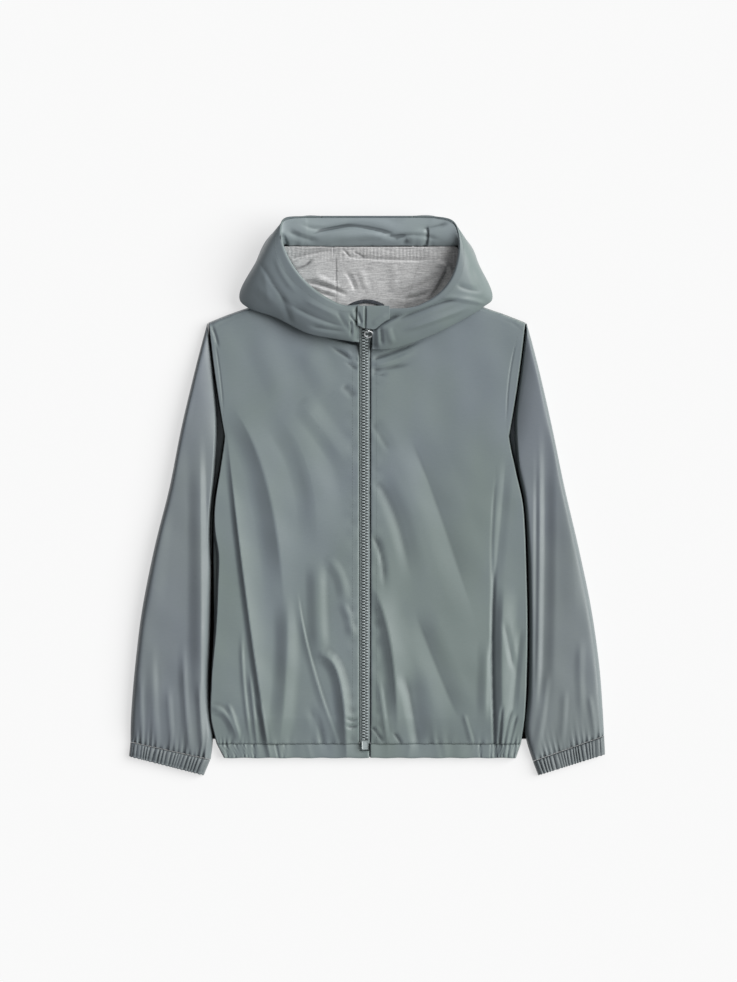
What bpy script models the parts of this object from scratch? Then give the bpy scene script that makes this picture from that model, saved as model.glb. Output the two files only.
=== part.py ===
"""A child's hooded windbreaker laid out flat on its back, built piece by piece as it is cut and sewn.

Frame: +X towards the wearer's left, +Y from the hem to the hood, +Z up from the surface it lies on.
The tables hold millimetres, and MM turns them into metres. Right and left are the wearer's.
"""

import math
from collections import namedtuple

import bmesh
import bpy
from mathutils import Vector

MM = 0.001
RIGHT, LEFT = -1, 1
SIDE_NAME = {RIGHT: "right", LEFT: "left"}

# Driving dimensions
CLOTH = 1.2            # wall of a single cloth
BAND = 1.6             # wall of a turned hem, cuff or facing
GAP = 0.4              # between two pieces at a seam
HEM_Y = -261.5         # lower edge of the hem
HEM_SEAM_Y = -249.0    # where the hem channel is stitched to the body
ARMPIT_Y = 60.0
SHOULDER_TIP = (159.0, 170.0)
ARMHOLE_BOW = 2.0      # how far the armhole curves in from a straight line
NECK_Y = 150.0         # where the neck seam meets the zip
BACK_NECK_Y = 196.0
UNDER_INSET = 0.8      # the underside lies this far inside the outline
EDGE_Z = 2.4           # height of the fronts' edges above the floor, just over the back
SIDE_ROLL = 20.0       # width over which a front rolls down at its side
SHOULDER_ROLL = 26.0   # the same at the shoulder seam
CROWD = 1.5            # how much closer a front's columns stand near its side
EDGE_STEPS = 26        # points along each side of the back
ZIP_X = -2.0           # middle of the zip
ZIP_EDGE = {RIGHT: -7.8, LEFT: 3.4}     # folded front edges beside the zip
HOOD_ZIP_EDGE = {RIGHT: -10.0, LEFT: 8.5}
GATHER_PITCH = 3.6     # crest to crest of an elastic gather
GATHER_DEPTH = 0.9
HEM_GATHERS = 7        # on each side of the front hem
PLAIN_STEPS = 9        # along the ungathered rest of it
CUFF_GATHERS = 22      # across the upper face of a cuff

EdgeRow = namedtuple("EdgeRow", "y right left")
LoftRow = namedtuple("LoftRow", "y rise")
TopRow = namedtuple("TopRow", "x y")
FoldRow = namedtuple("FoldRow", "x0 y0 x1 y1 x2 y2 width lift")
SleeveRow = namedtuple("SleeveRow", "outer_x outer_y inner_x inner_y height bow")
HoodRow = namedtuple(
    "HoodRow", "rim_x rim_y rim_z fold_x fold_y fold_z tuck_x tuck_y tuck_z base_x base_y base_z"
)
InsideRow = namedtuple("InsideRow", "edge_x edge_y edge_z neck_x neck_y neck_z")
ZipRow = namedtuple("ZipRow", "y z")

# Distance of the body's side from the centre line, from the hem up to the armpit
BODY_EDGE = [
    EdgeRow(-262, 144.5, 149.0),
    EdgeRow(-249, 150.0, 154.0),
    EdgeRow(-222, 156.0, 158.0),
    EdgeRow(-190, 155.5, 160.0),
    EdgeRow(-130, 153.5, 161.0),
    EdgeRow(-44, 154.0, 159.0),
    EdgeRow(-8, 152.5, 156.5),
    EdgeRow(24, 147.0, 149.5),
    EdgeRow(ARMPIT_Y, 139.5, 142.0),
]

# How far the fronts stand off the floor, from the hem to the neck
LOFT = [
    LoftRow(-262, 7.0),
    LoftRow(-249, 7.5),
    LoftRow(-222, 13.0),
    LoftRow(-170, 15.5),
    LoftRow(-60, 16.0),
    LoftRow(60, 14.5),
    LoftRow(120, 12.5),
    LoftRow(170, 10.0),
    LoftRow(205, 8.5),
]

# Upper edge of a front: along the shoulder seam to the neck point, then down the neck to the zip
TOP_EDGE = [
    TopRow(SHOULDER_TIP[0], SHOULDER_TIP[1]),
    TopRow(150, 178.5),
    TopRow(134, 185.0),
    TopRow(105, 192.0),
    TopRow(76, 198.0),
    TopRow(64, 178.0),
    TopRow(38, 158.0),
    TopRow(8, NECK_Y),
]
SHOULDER_ROWS = 5      # rows of TOP_EDGE that belong to the shoulder seam

# The largest drape folds: a path through three points, its half width, and its height (- is a trough)
FOLDS = [
    FoldRow(-135, 68, -118, -94, -97, -246, 10, -4.5),
    FoldRow(-120, 66, -90, -64, -83, -204, 15, -5.0),
    FoldRow(-90, 82, -61, 24, -37, -44, 14, -4.0),
    FoldRow(-49, 86, -24, 46, -10, 15, 12, -2.5),
    FoldRow(-67, -104, -55, -168, -31, -242, 9, 3.5),
    FoldRow(-51, -150, -30, -189, -22, -246, 10, -4.0),
    FoldRow(8, -94, 21, -142, 43, -246, 11, -4.5),
    FoldRow(50, -127, 69, -168, 92, -226, 12, -3.5),
    FoldRow(12, 67, 35, 7, 48, -60, 13, -3.0),
    FoldRow(48, 44, 74, -16, 108, -125, 14, -4.0),
    FoldRow(129, -80, 127, -160, 129, -246, 9, -5.0),
]
FOLD_SAMPLES = 14

# Sections of a sleeve from the armhole seam to the cuff seam, each from its outer to its inner edge
SLEEVE = {
    RIGHT: [
        SleeveRow(159.5, 169.5, 140.1, 60.0, 5.0, ARMHOLE_BOW),
        SleeveRow(164, 150, 147, 47, 11.0, 1.0),
        SleeveRow(172, 116, 153, 28, 15.0, 0.0),
        SleeveRow(183, 66, 155.2, -4, 16.0, 0.0),
        SleeveRow(196, 8, 155.8, -50, 16.0, 0.0),
        SleeveRow(210, -52, 156.2, -100, 16.0, 0.0),
        SleeveRow(223, -115, 156.6, -150, 15.5, 0.0),
        SleeveRow(231, -172, 157.6, -196, 15.0, 0.0),
        SleeveRow(235.5, -218, 157.4, -230, 13.5, 0.0),
        SleeveRow(236.5, -246, 160, -264.6, 9.0, 0.0),
    ],
    LEFT: [
        SleeveRow(159.5, 169.5, 142.6, 60.0, 5.0, ARMHOLE_BOW),
        SleeveRow(164, 150, 150, 46, 11.0, 1.0),
        SleeveRow(172, 116, 156, 26, 15.0, 0.0),
        SleeveRow(183, 66, 159.4, -6, 16.0, 0.0),
        SleeveRow(196, 8, 161.4, -52, 16.0, 0.0),
        SleeveRow(209, -52, 162.6, -102, 16.0, 0.0),
        SleeveRow(222, -112, 162.8, -150, 15.5, 0.0),
        SleeveRow(230, -168, 162.0, -196, 15.0, 0.0),
        SleeveRow(235, -212, 160.4, -234, 13.5, 0.0),
        SleeveRow(237.5, -240, 166, -265.4, 9.0, 0.0),
    ],
}
ARCH_SHOULDER, ARCH_EDGE = 3.0, 0.45     # a sleeve's section: broad on top, round at its edges
CUFF = {
    RIGHT: [
        SleeveRow(236.6, -246.6, 160.2, -265.2, 9.0, 0.0),
        SleeveRow(238.5, -260.5, 163.5, -279.5, 8.6, 0.0),
    ],
    LEFT: [
        SleeveRow(237.6, -240.6, 166.2, -266.0, 9.0, 0.0),
        SleeveRow(238.5, -258.5, 171.5, -279.5, 8.6, 0.0),
    ],
}

# Sections of the open hood from the zip round to the crown seam: the rim of the face opening, the outer
# fold, where it tucks under, and where it ends at the neck seam or at the centre panel's seam
HOOD = {
    RIGHT: [
        HoodRow(10, 189.5, 36, 10, 153, 24, 10, 160, 15.5, 10, 168, 16),
        HoodRow(24, 189, 37, 32, 157, 25, 29, 165, 15.5, 27, 172, 16),
        HoodRow(43, 198, 39, 58, 160.5, 25, 54, 170, 15, 48, 178, 15.5),
        HoodRow(62, 213, 41, 92, 174.5, 22, 84, 185, 13.5, 72, 193, 13.5),
        HoodRow(77, 233, 43, 119, 188, 17, 107, 199, 6.5, 82, 201, 5),
        HoodRow(85, 253, 44, 127, 201, 14, 113, 209, 0, 62, 198.5, 0),
        HoodRow(86, 268, 44, 113, 232, 13, 100, 233, 0, 47, 208, 0),
        HoodRow(81, 276.5, 43, 94, 263, 15, 84, 257, 0, 46.5, 228, 0),
        HoodRow(64, 278, 42, 67, 278.4, 20, 64, 267, 0, 46.5, 246, 0),
        HoodRow(46, 278.4, 41, 46.5, 279.2, 19, 46.5, 268, 0, 46.5, 262, 0),
    ],
    LEFT: [
        HoodRow(8.5, 187, 36, 8.5, 146, 24, 8.5, 154, 16, 8.5, 163, 16),
        HoodRow(24, 185.5, 37, 27, 147.5, 25, 26, 157, 16, 25, 166, 16),
        HoodRow(48, 187.5, 39, 60, 158.5, 25, 55, 168, 15, 48, 176, 15.5),
        HoodRow(70, 199, 41, 92, 174, 22, 84, 184.5, 13.5, 72, 192, 13.5),
        HoodRow(84, 215, 43, 117, 189, 17, 106, 199, 6.5, 82, 201, 5),
        HoodRow(91, 235, 44, 125, 200, 14, 112, 208, 0, 62, 198.5, 0),
        HoodRow(92, 256, 44, 113, 231, 13, 100, 232, 0, 47, 208, 0),
        HoodRow(86, 273, 43, 98, 257, 15, 86, 255, 0, 46.5, 228, 0),
        HoodRow(68, 277.8, 42, 71, 278.2, 20, 66, 267, 0, 46.5, 246, 0),
        HoodRow(46, 278.4, 41, 46.5, 279.2, 19, 46.5, 268, 0, 46.5, 262, 0),
    ],
}
CREST = 2.0            # how far a hood section swells between its rim and its fold
CREST_PLAN = 0.7       # how far out from the rim that swelling is highest
OVER_SHARE, UNDER_SHARE = 0.55, 0.8     # shares of a section's length at its fold and at its tuck
FACE_MIDDLE_Y = 236.0  # middle of the face opening
FACE_SPREAD = 0.6      # the opening narrows to this share of its width along that line
FACING_INSET = 4.2     # from the rim in to the facing, clear of the hood's own wall
FACING_DROP = 1.6

# The self-cloth facing's inner edge, one row for each hood section
FACING_EDGE = {
    RIGHT: [(10, 194, 20), (24, 195, 20), (39, 204, 20), (55, 217, 20), (67, 233, 21), (73, 246, 23),
            (72, 252, 25), (66, 251, 26.5), (57, 249.5, 27), (46, 249, 27)],
    LEFT: [(8.5, 192, 20), (24, 191, 20), (43, 194, 20), (62, 205, 20), (73, 219, 21), (79, 235, 23),
           (78, 247, 25), (70, 250, 26.5), (58, 249.5, 27), (46, 249, 27)],
}

# The jersey lining from the facing down to the back neck, from its front edge to its centre seam
LINING = {
    RIGHT: [
        InsideRow(52.6, 218.4, 19.2, 62, 201, 9),
        InsideRow(64.2, 233.0, 20.2, 57, 200, 8),
        InsideRow(71, 244.5, 22.4, 50, 199, 7),
        InsideRow(68, 249.5, 25, 44, 198.4, 6.5),
        InsideRow(57, 248.7, 26.4, 38, 197.8, 6),
        InsideRow(34, 248.3, 26.4, 30, 197, 6),
    ],
    LEFT: [
        InsideRow(59.6, 206.6, 19.2, 64, 201, 9),
        InsideRow(70.6, 219.6, 20.2, 59, 200, 8),
        InsideRow(77.4, 234, 22.4, 53, 199, 7),
        InsideRow(76, 245, 24.4, 48, 198.4, 6.5),
        InsideRow(68, 248.7, 26, 43, 197.8, 6),
        InsideRow(57, 248.3, 26.4, 36, 197, 6),
    ],
}
LINING_SAG = 3.0
LOOP_MIDDLE_X, LOOP_WIDTH, LOOP_RISE, LOOP_WIRE, LOOP_Z = -1.0, 35.0, 4.5, 3.2, 6.2
LINING_FLOOR = 3.4     # lowest height of the lining, clear of the hood below it

# Height of the zip's tapes where they climb the front of the hood
ZIP_CLIMB = [ZipRow(138, 13.6), ZipRow(148, 14.6), ZipRow(158, 19.5), ZipRow(168, 25.5), ZipRow(184, 28.0)]
GUARD_RIGHT_X, GUARD_LEFT_X = -12.5, 23.0
GUARD_LOWER_Y = (167.2, 175.5)  # the chin guard's lower edge, at the zip and at its outer end
GUARD_UPPER_Y = 190.0
GUARD_Z, GUARD_DROOP, GUARD_BULGE = 38.8, 1.4, 0.5
ZIP_FOOT_Y = -250.0
ZIP_TOP_Y = 184.0
ZIP_SPREAD = (153.0, 163.0)     # where the gap between the edges widens from the body's to the hood's
LEVEL_STEPS, CLIMB_STEPS = 22, 10
TAPE_DROP = 0.8        # the tapes lie this far below the front edges
CHAIN_WIDTH, CHAIN_HEIGHT = 6.2, 1.8
CHAIN_GAP = 0.8        # level, so that the sloping stretch keeps its gap too
BOX_SIZE = (6.6, 8.0, 2.4)
BOX_ROUNDING, SLIDER_ROUNDING = 0.5, 0.8
SLIDER_SIZE = (8.6, 9.0, 4.2)
SLIDER_AT = (ZIP_X + 1.0, 171.6, 29.6)
PULL_AT = (ZIP_X + 3.6, 164.4, 30.6)    # hinge of the pull ring
PULL_LENGTH, PULL_WIDTH, PULL_WIRE = 7.6, 8.4, 1.3
PULL_SLOPE = math.radians(38)           # the ring hangs down the slope of the hood's front
BRIDGE_REACH, BRIDGE_WIRE = 1.9, 1.2

COLOURS = {
    "shell": (0.205, 0.245, 0.255, 1),
    "jersey": (0.46, 0.46, 0.46, 1),
    "tape": (0.215, 0.25, 0.255, 1),
    "moulded": (0.29, 0.33, 0.33, 1),
    "dark_loop": (0.03, 0.035, 0.045, 1),
    "metal": (0.42, 0.43, 0.44, 1),
}


def clear_scene():
    for obj in list(bpy.data.objects):
        bpy.data.objects.remove(obj)


def make_material(name):
    material = bpy.data.materials.new(name)
    material.use_nodes = True
    shader = material.node_tree.nodes["Principled BSDF"]
    shader.inputs["Base Color"].default_value = COLOURS[name]
    shader.inputs["Roughness"].default_value = 0.35 if name == "metal" else 0.6
    shader.inputs["Metallic"].default_value = 1.0 if name == "metal" else 0.0
    return material


def between(start, end, share):
    return start + (end - start) * share


def cubic(before, start, end, after, t):
    """One stretch of a smooth curve through the table's values."""
    return 0.5 * (
        2 * start
        + (end - before) * t
        + (2 * before - 5 * start + 4 * end - after) * t * t
        + (3 * start - before - 3 * end + after) * t ** 3
    )


def row_at(rows, place):
    """The table's row at a place counted in rows, on a smooth curve through its rows."""
    first = max(0, min(int(place), len(rows) - 2))
    last = len(rows) - 1
    four = [rows[max(first - 1, 0)], rows[first], rows[first + 1], rows[min(first + 2, last)]]
    return [cubic(*values, place - first) for values in zip(*four)]


def place_of(rows, column, value):
    """Where a rising or falling column of the table reaches a value, counted in rows."""
    for i in range(len(rows) - 1):
        start, end = rows[i][column], rows[i + 1][column]
        if min(start, end) <= value <= max(start, end):
            return i + (value - start) / (end - start)
    nearest = min(range(len(rows)), key=lambda i: abs(rows[i][column] - value))
    return float(nearest)


def bow_out(share, bow):
    return 4 * share * (1 - share) * bow


def edge_x(side, y):
    """Distance of the body's side edge from the centre line."""
    column = 1 if side == RIGHT else 2
    if y <= ARMPIT_Y:
        return row_at(BODY_EDGE, place_of(BODY_EDGE, 0, y))[column]
    share = (y - ARMPIT_Y) / (SHOULDER_TIP[1] - ARMPIT_Y)
    return between(BODY_EDGE[-1][column], SHOULDER_TIP[0], share) - bow_out(share, ARMHOLE_BOW)


def shoulder_y(x):
    seam = TOP_EDGE[:SHOULDER_ROWS]
    return row_at(seam, place_of(seam, 0, x))[1]


def roll(distance, width):
    """A rounded shoulder, 0 at the edge and 1 from that width on."""
    share = max(0.0, min(distance / width, 1.0))
    return math.sqrt(1 - (1 - share) ** 2)


def fold_points(fold):
    """The fold's path as points, on a curve through its three points."""
    start, middle, end = (Vector((fold[i], fold[i + 1])) for i in (0, 2, 4))
    control = 2 * middle - (start + end) / 2
    shares = [i / (FOLD_SAMPLES - 1) for i in range(FOLD_SAMPLES)]
    return [(s, start * (1 - s) ** 2 + control * 2 * s * (1 - s) + end * s ** 2) for s in shares]


FOLD_PATHS = [(fold, fold_points(fold)) for fold in FOLDS]


def fold_lift(x, y):
    """Height that the folds add at a point: a bell across each path, fading at its ends."""
    here = Vector((x, y))
    lift = 0.0
    for fold, path in FOLD_PATHS:
        share, point = min(path, key=lambda sample: (sample[1] - here).length)
        away = min((point - here).length / fold.width, 1.0)
        fade = math.sin(math.pi * between(0.06, 0.94, share)) ** 0.6
        lift += fold.lift * fade * (1 + math.cos(math.pi * away)) / 2
    return lift


def front_height(x, y):
    """Height of the fronts' outer face above the floor."""
    side = RIGHT if x < ZIP_X else LEFT
    rounding = roll(edge_x(side, y) - abs(x), SIDE_ROLL)
    if abs(x) > TOP_EDGE[SHOULDER_ROWS - 1].x:
        rounding *= roll(shoulder_y(abs(x)) - y, SHOULDER_ROLL)
    rise = row_at(LOFT, place_of(LOFT, 0, y))[1]
    return EDGE_Z + rounding * (rise + fold_lift(x, y))


def new_object(name, data, material):
    obj = bpy.data.objects.new(name, data)
    obj.data.materials.append(material)
    jacket.objects.link(obj)
    return obj


def grid_mesh(name, across, along, place):
    """A grid of points that `place` sets from their shares across and along."""
    shape = bmesh.new()
    bmesh.ops.create_grid(shape, x_segments=across, y_segments=along, size=1.0)
    for vert in shape.verts:
        vert.co = Vector(place((vert.co.x + 1) / 2, (vert.co.y + 1) / 2)) * MM
    return shape


def finish_mesh(shape, name, material):
    mesh = bpy.data.meshes.new(name)
    shape.to_mesh(mesh)
    shape.free()
    mesh.shade_smooth()
    return new_object(name, mesh, material)


def cloth(name, across, along, place, wall, material, flip=False):
    """A cloth wall: the grid is its outer face, thickened inwards."""
    shape = grid_mesh(name, across, along, place)
    if flip:
        bmesh.ops.reverse_faces(shape, faces=shape.faces)
    obj = finish_mesh(shape, name, material)
    solidify = obj.modifiers.new("Wall", "SOLIDIFY")
    solidify.thickness = wall * MM
    solidify.offset = -1
    return obj


def tube(name, around, along, place, material):
    """An open-ended tube with a wall: outer face, rim, inner face and rim in one closed strip."""
    faces = 2 * along + 2

    def wrapped(u, w):
        step = round(w * faces) % faces
        inside = step > along
        share = (faces - 1 - step if inside else step) / along
        return place(u % 1.0, share, inside)

    shape = grid_mesh(name, around, faces, wrapped)
    bmesh.ops.remove_doubles(shape, verts=shape.verts, dist=1e-6)
    bmesh.ops.recalc_face_normals(shape, faces=shape.faces)
    return finish_mesh(shape, name, material)


def slab(name, outline, bottom, wall, material):
    """A flat cloth cut to an outline, lying at a height."""
    curve = bpy.data.curves.new(name, "CURVE")
    curve.dimensions = "2D"
    curve.fill_mode = "BOTH"
    curve.extrude = wall * MM / 2
    spline = curve.splines.new("POLY")
    spline.points.add(len(outline) - 1)
    for point, (x, y) in zip(spline.points, outline):
        point.co = (x * MM, y * MM, 0, 1)
    spline.use_cyclic_u = True
    obj = new_object(name, curve, material)
    obj.location.z = (bottom + wall / 2) * MM
    return obj


def wire(name, points, radius, material, closed=False, origin=(0, 0, 0)):
    """A round wire or cord through points, which are counted from its origin."""
    curve = bpy.data.curves.new(name, "CURVE")
    curve.dimensions = "3D"
    curve.bevel_depth = radius * MM
    curve.bevel_resolution = 2
    curve.use_fill_caps = not closed
    spline = curve.splines.new("POLY")
    spline.points.add(len(points) - 1)
    for point, place in zip(spline.points, points):
        point.co = (*(Vector(place) * MM), 1)
    spline.use_cyclic_u = closed
    obj = new_object(name, curve, material)
    obj.location = Vector(origin) * MM
    return obj


def make_back():
    """The back panel, flat on the floor, from the hem seam to the shoulders and back neck."""
    outline = []
    foot, top = HEM_SEAM_Y + GAP, SHOULDER_TIP[1] - UNDER_INSET
    shoulder = TOP_EDGE[1:SHOULDER_ROWS]
    for side in (LEFT, RIGHT):
        ys = [between(foot, top, i / EDGE_STEPS) for i in range(EDGE_STEPS + 1)]
        edge = [(side * (edge_x(side, y) - UNDER_INSET), y) for y in ys]
        edge += [(side * (row.x - UNDER_INSET), min(row.y - UNDER_INSET, BACK_NECK_Y)) for row in shoulder]
        outline += edge if side == LEFT else edge[::-1]
    slab("back_panel", outline, 0, CLOTH, shell)


def make_front(side):
    """One front: a patch between its side, hem, zip and shoulder-and-neck edges."""
    foot_y = HEM_SEAM_Y + GAP
    last = len(TOP_EDGE) - 1

    def side_point(v):
        y = between(foot_y, SHOULDER_TIP[1], v)
        return Vector((side * edge_x(side, y), y))

    def zip_point(v):
        return Vector((ZIP_EDGE[side], between(foot_y, NECK_Y, v)))

    def top_point(u):
        x, y = row_at(TOP_EDGE, u * last)
        share = (x - TOP_EDGE[last].x) / (SHOULDER_TIP[0] - TOP_EDGE[last].x)
        return Vector((between(ZIP_EDGE[side], side * SHOULDER_TIP[0], share), y))

    def place(u, v):
        u = u ** CROWD
        foot = side_point(0).lerp(zip_point(0), u)
        corners = foot.lerp(side_point(1).lerp(zip_point(1), u), v)
        point = foot.lerp(top_point(u), v) + side_point(v).lerp(zip_point(v), u) - corners
        return point.x, point.y, front_height(point.x, point.y)

    cloth(f"front_{SIDE_NAME[side]}", 18, 26, place, CLOTH, shell, flip=side == LEFT)


def make_hem(side):
    """The front hem channel on one side, gathered by its elastic near the side seam."""
    steps = 2 * HEM_GATHERS
    run = HEM_GATHERS * GATHER_PITCH
    count = steps + PLAIN_STEPS

    def place(u, v):
        step = round(u * count)
        y = between(HEM_SEAM_Y - GAP / 2, HEM_Y, v)
        out = edge_x(side, y)
        reach = abs(out - side * ZIP_EDGE[side])
        inset = step * GATHER_PITCH / 2
        if step > steps:
            inset = between(run, reach, (step - steps) / PLAIN_STEPS)
        x = side * (out - inset)
        crest = GATHER_DEPTH if step % 2 and step < steps else 0.0
        return x, y, front_height(x, y) + crest

    cloth(f"hem_{SIDE_NAME[side]}", count, 2, place, BAND, shell, flip=side == RIGHT)


def make_hem_back():
    """The back hem channel, flat on the floor under the front one."""
    ys = [HEM_SEAM_Y - GAP / 2, between(HEM_SEAM_Y, HEM_Y, 0.5), HEM_Y + UNDER_INSET]
    left = [(edge_x(LEFT, y) - UNDER_INSET, y) for y in ys]
    right = [(UNDER_INSET - edge_x(RIGHT, y), y) for y in ys]
    slab("hem_back", left[::-1] + right, 0, BAND, shell)


def flat_section(row, side, share, inside, wall, swell=0.0):
    """A point of a flattened tube's section: an arch over a flat underside, from edge to edge."""
    outer_x, outer_y, inner_x, inner_y, height, bow = row
    over = share < 0.5
    along = math.cos(2 * math.pi * share)
    profile = (1 - abs(along) ** ARCH_SHOULDER) ** ARCH_EDGE if over else 0.0
    centre = (1 - along) / 2
    x = between(outer_x, inner_x, centre) - bow_out(centre, bow)
    y = between(outer_y, inner_y, centre)
    if not inside:
        return side * x, y, (height + swell) * profile
    keep = 1 - 4 * CLOTH / math.hypot(outer_x - inner_x, outer_y - inner_y)
    middle = Vector(((outer_x + inner_x) / 2, (outer_y + inner_y) / 2))
    point = middle + (Vector((x, y)) - middle) * keep
    return side * point.x, point.y, wall + (height - 2 * wall) * profile


def make_sleeve(side):
    """One sleeve as a flat tube from the armhole seam to the cuff seam."""
    rows = SLEEVE[side]

    def place(u, v, inside):
        return flat_section(row_at(rows, v * (len(rows) - 1)), side, u, inside, CLOTH)

    tube(f"sleeve_{SIDE_NAME[side]}", 20, 14, place, shell)


def make_cuff(side):
    """An elastic cuff, gathered across its upper face."""
    rows = CUFF[side]
    crests = 2 * CUFF_GATHERS
    under = 6
    count = crests + under

    def place(u, v, inside):
        step = round(u * count) % count
        if step <= crests:
            share = math.acos(1 - 2 * step / crests) / (2 * math.pi)
        else:
            share = 1 - math.acos(1 - 2 * (count - step) / under) / (2 * math.pi)
        swell = GATHER_DEPTH if step % 2 and step < crests else 0.0
        row = [between(a, b, v) for a, b in zip(*rows)]
        return flat_section(row, side, share, inside, BAND, swell)

    tube(f"cuff_{SIDE_NAME[side]}", count, 2, place, shell)


def hood_section(row, w):
    """A point of a hood section: from the rim over to the outer fold, under to the tuck, then to its end."""
    rim, fold, tuck, base = (Vector(row[i:i + 3]) for i in (0, 3, 6, 9))
    if w <= OVER_SHARE:
        t = w / OVER_SHARE
        swell = rim.lerp(fold, CREST_PLAN)
        swell.z = between(rim.z, fold.z, 1 - CREST_PLAN) + CREST
        return rim * (1 - t) ** 2 + swell * 2 * t * (1 - t) + fold * t * t
    if w <= UNDER_SHARE:
        t = (w - OVER_SHARE) / (UNDER_SHARE - OVER_SHARE)
        corner = Vector((fold.x, fold.y, tuck.z))
        return fold * (1 - t) ** 2 + corner * 2 * t * (1 - t) + tuck * t * t
    return tuck.lerp(base, (w - UNDER_SHARE) / (1 - UNDER_SHARE))


def make_hood_side(side):
    rows = HOOD[side]

    def place(u, w):
        point = hood_section(row_at(rows, u * (len(rows) - 1)), w)
        return side * point.x, point.y, max(point.z, 0.0)

    cloth(f"hood_side_{SIDE_NAME[side]}", 18, 16, place, BAND, shell, flip=side == LEFT)


def make_hood_centre():
    """The hood's centre panel: flat on the floor from the back neck, then up to the rim at the crown."""
    section = HOOD[LEFT][-1]._replace(base_y=BACK_NECK_Y + GAP)
    reach = section.rim_x - GAP

    def place(u, w):
        point = hood_section(section, w)
        return between(-reach, reach, u), point.y, max(point.z, 0.0)

    cloth("hood_centre", 4, 16, place, BAND, shell)


def inward(x, y):
    """The level direction from a point of the rim into the face opening."""
    return Vector((FACE_SPREAD * x - x, FACE_MIDDLE_Y - y, 0)).normalized()


def make_facing():
    """The self-cloth facing inside the face opening, one band from zip to zip."""
    stations = []
    for side in (RIGHT, LEFT):
        rows = [
            (side * row.rim_x, row.rim_y, row.rim_z, side * edge[0], edge[1], edge[2])
            for row, edge in zip(HOOD[side], FACING_EDGE[side])
        ]
        stations += rows if side == RIGHT else rows[::-1]

    def place(u, v):
        values = row_at(stations, u * (len(stations) - 1))
        start = Vector(values[:3]) + inward(*values[:2]) * FACING_INSET
        start.z -= FACING_DROP
        return start.lerp(Vector(values[3:]), v)

    cloth("hood_facing", 57, 2, place, CLOTH, shell, flip=True)


def make_lining(side):
    """One side of the jersey lining, from the facing's inner edge to the back neck."""
    rows = LINING[side]

    def place(u, v):
        row = InsideRow(*row_at(rows, u * (len(rows) - 1)))
        point = Vector(row[:3]).lerp(Vector(row[3:]), v)
        sag = LINING_SAG * math.sin(math.pi * v)
        return side * point.x, point.y, max(point.z - sag, LINING_FLOOR)

    cloth(f"lining_{SIDE_NAME[side]}", 10, 8, place, CLOTH, jersey, flip=side == RIGHT)


def make_lining_centre():
    right, left = LINING[RIGHT][-1], LINING[LEFT][-1]

    def place(u, v):
        edge = Vector((between(GAP - right.edge_x, left.edge_x - GAP, u), right.edge_y, right.edge_z))
        neck = Vector((between(GAP - right.neck_x, left.neck_x - GAP, u), right.neck_y, right.neck_z))
        point = edge.lerp(neck, v)
        return point.x, point.y, max(point.z - LINING_SAG * math.sin(math.pi * v), LINING_FLOOR)

    cloth("lining_centre", 8, 8, place, CLOTH, jersey, flip=True)


def make_hanger_loop():
    """The short cord loop sewn at the back neck, lying against the lining's lower edge."""
    count = 11
    reach = BACK_NECK_Y + 1.0 - LOOP_WIRE / 2 - GAP
    points = []
    for i in range(count):
        turn = math.pi * i / (count - 1)
        x = LOOP_MIDDLE_X - LOOP_WIDTH / 2 * math.cos(turn)
        points.append((x, reach - LOOP_RISE * (1 - math.sin(turn)), LOOP_Z))
    wire("hanger_loop", points, LOOP_WIRE / 2, dark_loop)


def make_chin_guard():
    """The small flap folded over the top of the zip."""
    def place(u, v):
        x = between(GUARD_RIGHT_X, GUARD_LEFT_X, u)
        slant = max(0.0, (x - ZIP_EDGE[LEFT]) / (GUARD_LEFT_X - ZIP_EDGE[LEFT]))
        y = between(between(*GUARD_LOWER_Y, slant), GUARD_UPPER_Y, v)
        return x, y, GUARD_Z - GUARD_DROOP * (1 - v) ** 2 + GUARD_BULGE * math.sin(math.pi * u)

    cloth("chin_guard", 8, 6, place, CLOTH, shell)


def zip_height(y):
    """Height of the tapes' upper face: just below the fronts, then up the front of the hood."""
    if y <= ZIP_CLIMB[0].y:
        return between(front_height(ZIP_EDGE[RIGHT], y), front_height(ZIP_EDGE[LEFT], y), 0.5) - TAPE_DROP
    return row_at(ZIP_CLIMB, place_of(ZIP_CLIMB, 0, y))[1]


def zip_y(share, foot, top):
    """The zip's rows: long steps up the level fronts, short ones where it climbs the hood."""
    step = share * (LEVEL_STEPS + CLIMB_STEPS)
    if step <= LEVEL_STEPS:
        return between(foot, ZIP_CLIMB[0].y, step / LEVEL_STEPS)
    return between(ZIP_CLIMB[0].y, top, (step - LEVEL_STEPS) / CLIMB_STEPS)


def make_tape(side):
    def place(u, v):
        y = zip_y(v, ZIP_FOOT_Y, ZIP_TOP_Y)
        spread = (y - ZIP_SPREAD[0]) / (ZIP_SPREAD[1] - ZIP_SPREAD[0])
        edge = between(ZIP_EDGE[side], HOOD_ZIP_EDGE[side], max(0.0, min(1.0, spread)))
        return between(ZIP_X + side * GAP / 2, edge - side * GAP, u), y, zip_height(y)

    cloth(f"zip_tape_{SIDE_NAME[side]}", 1, LEVEL_STEPS + CLIMB_STEPS, place, CLOTH, tape, flip=side == RIGHT)


def make_chain():
    """The closed row of teeth, a plain bar on the tapes from the box to the slider."""
    top = SLIDER_AT[1] - SLIDER_SIZE[1] / 2 - GAP

    def place(u, v):
        y = zip_y(v, ZIP_FOOT_Y + BOX_SIZE[1] + GAP, top)
        return ZIP_X + between(-0.5, 0.5, u) * CHAIN_WIDTH, y, zip_height(y) + CHAIN_GAP + CHAIN_HEIGHT

    cloth("zip_chain", 2, LEVEL_STEPS + CLIMB_STEPS, place, CHAIN_HEIGHT, moulded)


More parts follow.
